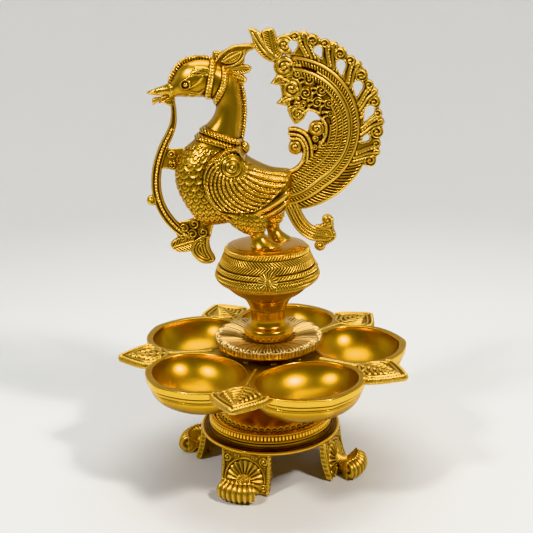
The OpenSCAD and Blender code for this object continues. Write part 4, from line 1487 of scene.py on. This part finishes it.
def make_tabs():
    """Five leaf tabs, each between two cups."""
    points, quads = tab_relief().skin(back=1.5)
    # the relief's x runs outwards, its z across the leaf and its height up
    flat = np.stack([points[:, 0], points[:, 2], TAB_Z + points[:, 1]], 1)
    for k in range(CUPS):
        placed = about_axis(flat, TRAY_TURN + k * CUP_STEP)
        obj = mesh_object("leaf_tab_%d" % (k + 1), placed, quads[:, ::-1])
        finish_piece(obj, cast_brass, "tray", "tray_brass", rounds=8, full=0.4)


make_tray()
make_tabs()

# ---------------------------------------------------------------- feet

FOOT_STEP = 0.36            # the grid that a foot is built on
FOOT_TURN = -21.7 - 90.0    # the first foot's direction, in degrees
FEET = 4


def foot_face(y, z):
    """Relief on a foot's plate: a fan shell, spirals in the corners and a beaded edge."""
    h = np.zeros(y.shape)
    rho, turn = np.hypot(y, z - 9.0), np.arctan2(z - 9.0, y)
    ribs = wave(turn, math.pi / 10)
    edge = 12.6 + 0.7 * ribs
    shell = (0.9 + 1.3 * dome(rho / edge)) * (0.45 + 0.55 * ribs)
    h = np.where((rho < edge) & (rho > 3.4), shell, h)
    h = np.maximum(h, 0.9 * bump(rho, 14.4, 0.8) * (z > 8))
    knob, turns = spiral(y, z, (0, 9.0), 4.6, 1, 1.6)
    h = np.where(knob < 1, 2.5 * dome(knob * 0.9) - 0.9 * (1 - turns), h)
    for side in (-1, 1):
        for centre, radius in (
                ((side * 13.4, 22.8), 3.8), ((side * 14.2, 5.2), 2.9), ((side * 6.4, 24.8), 2.4)):
            share, turns = spiral(y, z, centre, radius, side, 1.7)
            h = np.where(share < 1, np.maximum(h, 1.5 * dome(share * 0.92) - 0.8 * (1 - turns)), h)
        edge_line = smooth_path([
            (side * 16.6, 27), (side * 16.2, 18), (side * 16.4, 10), (side * 16.8, 2.4)], 4)
        h = np.maximum(h, strip(y, z, edge_line, 1.1, 1.1, bead=(1.7, 0.5)))
    return h


def foot_plate(x, y, z):
    """The leaning plate with its relief, and the lug above it that the screw holds."""
    outer = 47.0 + 0.0076 * (28 - z) ** 2
    face = foot_face(y[0], z[0])[None]
    plate = overlap(x - outer - face + 0.8, outer - 4.4 - x, np.abs(y) - 17.6 - 0.35 * wave(z, 3.2),
                    1.2 - z, z - 28)
    lug = overlap(27 - x, x - 44, np.abs(y) - 12, 24.5 - z, z - 28)
    return np.minimum(plate, lug)


def foot_toe(x, y, z):
    """A shell that fans out from the plate, dips and rolls up at its edge."""
    reach, turn = np.hypot(x - 46, y), np.arctan2(y, x - 46)
    rib = wave(turn, 0.165)
    out = clamp((reach - 4) / 14.5)
    top = 12.5 - 5.2 * np.sin(math.pi * clamp(out * 0.8)) + 4.6 * out ** 3 + 0.9 * rib
    under = 0.4 + 3.2 * np.sin(math.pi * clamp((reach - 5) / 11))
    spread = np.minimum((np.abs(turn) - 0.66) * np.maximum(reach, 6), np.abs(y) - 8.5 + 0.45 * reach)
    neck = overlap(46 - x, reach - 18.5, z - top, under - z, spread)
    rho = np.hypot(reach - 18.3, z - 7.0)
    share, turns = spiral(reach, z, (18.3, 7.0), 7.0, 1, 1.5)
    flank = (np.abs(turn) - 0.60) * reach - 1.1 * turns * dome(share)
    roll = np.maximum(rho - 5.9 - 0.95 * rib * (flank < -1.0), flank)
    return smooth_union(neck, roll, 1.4)


def foot_field(x, y, z):
    """One foot, with the screw's hole through its lug. x runs outwards from the lamp's axis."""
    whole = smooth_union(foot_plate(x, y, z), foot_toe(x, y, z), 1.0)
    hole = 2.1 - np.hypot(x - 33, y)
    return np.maximum(whole, np.where(x > 37, -9.0, hole))


def make_feet():
    """Four feet under the base, all the same."""
    low, high = (26.0, -19.5, -0.7), (73.5, 19.5, 29.2)
    xs, ys, zs = (np.arange(a, b, FOOT_STEP) for a, b in zip(low, high))
    x, y, z = np.meshgrid(xs, ys, zs, indexing="ij")
    field = np.maximum(foot_field(x, y, z), 0.02 - z)
    points, quads = surface_of(field, low, FOOT_STEP)
    for k in range(FEET):
        placed = about_axis(points, FOOT_TURN + 360 / FEET * k)
        obj = mesh_object("scroll_foot_%d" % (k + 1), placed, quads)
        finish_piece(obj, cast_brass, "stand", "cast_brass", "foot_%d" % (k + 1), rounds=8, full=0.4)


make_feet()

# ---------------------------------------------------------------- floor and light

LIGHT_TARGET = Vector((0, 0, 0.14))


def floor_rings():
    """The floor's rings, from its middle outwards and up the wall: (share of its reach, out, up)."""
    sweep, height, bends = 0.5, 2.2, 14
    rings = [(i / 6, 0.0, 0.0) for i in range(1, 7)]
    for i in range(1, bends + 1):
        a = math.pi / 2 * i / bends
        rings.append((1.0, sweep * math.sin(a), sweep - sweep * math.cos(a)))
    return rings + [(1.0, sweep, height)]


def make_stage():
    """A pale floor whose edge sweeps up into a wall, near at the back and sides, far in front."""
    near, far, around = 0.75, 2.6, 96
    verts, faces = [], [tuple(range(around))]
    rings = floor_rings()
    for share, out, z in rings:
        for k in range(around):
            a = 2 * math.pi * k / around
            front = min(max((-math.sin(a) - 0.05) / 0.5, 0), 1)
            r = share * (near + eased(far - near, front)) + out
            verts.append((r * math.cos(a), r * math.sin(a), z))
    for i in range(len(rings) - 1):
        for k in range(around):
            n = (k + 1) % around
            faces.append((i * around + k, (i + 1) * around + k, (i + 1) * around + n, i * around + n))
    mesh = bpy.data.meshes.new("floor")
    mesh.from_pydata(verts, [], faces)
    for poly in mesh.polygons:
        poly.use_smooth = True
    obj = bpy.data.objects.new("floor", mesh)
    bpy.context.scene.collection.objects.link(obj)
    mat = bpy.data.materials.new("floor")
    mat.use_nodes = True
    shader = mat.node_tree.nodes["Principled BSDF"]
    shader.inputs["Base Color"].default_value = (0.66, 0.66, 0.65, 1)
    shader.inputs["Roughness"].default_value = 0.75
    mesh.materials.append(mat)


def make_light(name, at, size, power, colour=(1, 1, 1)):
    """A rectangular lamp that points at the middle of the oil lamp."""
    data = bpy.data.lights.new(name, "AREA")
    data.shape = "RECTANGLE"
    data.size, data.size_y = size
    data.energy = power
    data.color = colour
    obj = bpy.data.objects.new(name, data)
    obj.location = at
    obj.rotation_euler = (LIGHT_TARGET - Vector(at)).to_track_quat("-Z", "Y").to_euler()
    bpy.context.scene.collection.objects.link(obj)


def make_lights():
    """A faint sky and three lamps: the key from the right, a fill from the left, one above."""
    world = bpy.data.worlds.new("world")
    bpy.context.scene.world = world
    world.use_nodes = True
    background = world.node_tree.nodes["Background"]
    background.inputs["Color"].default_value = (0.92, 0.95, 1.0, 1)
    background.inputs["Strength"].default_value = 0.07
    make_light("key", (0.62, -0.60, 0.98), (0.15, 0.15), 11.0, (1.0, 0.97, 0.92))
    make_light("left", (-0.66, -0.52, 0.95), (0.15, 0.15), 7.0)
    make_light("top", (0.0, 0.28, 1.25), (1.0, 0.7), 10.0)
    bpy.context.scene.view_settings.view_transform = "Khronos PBR Neutral"


make_stage()
make_lights()
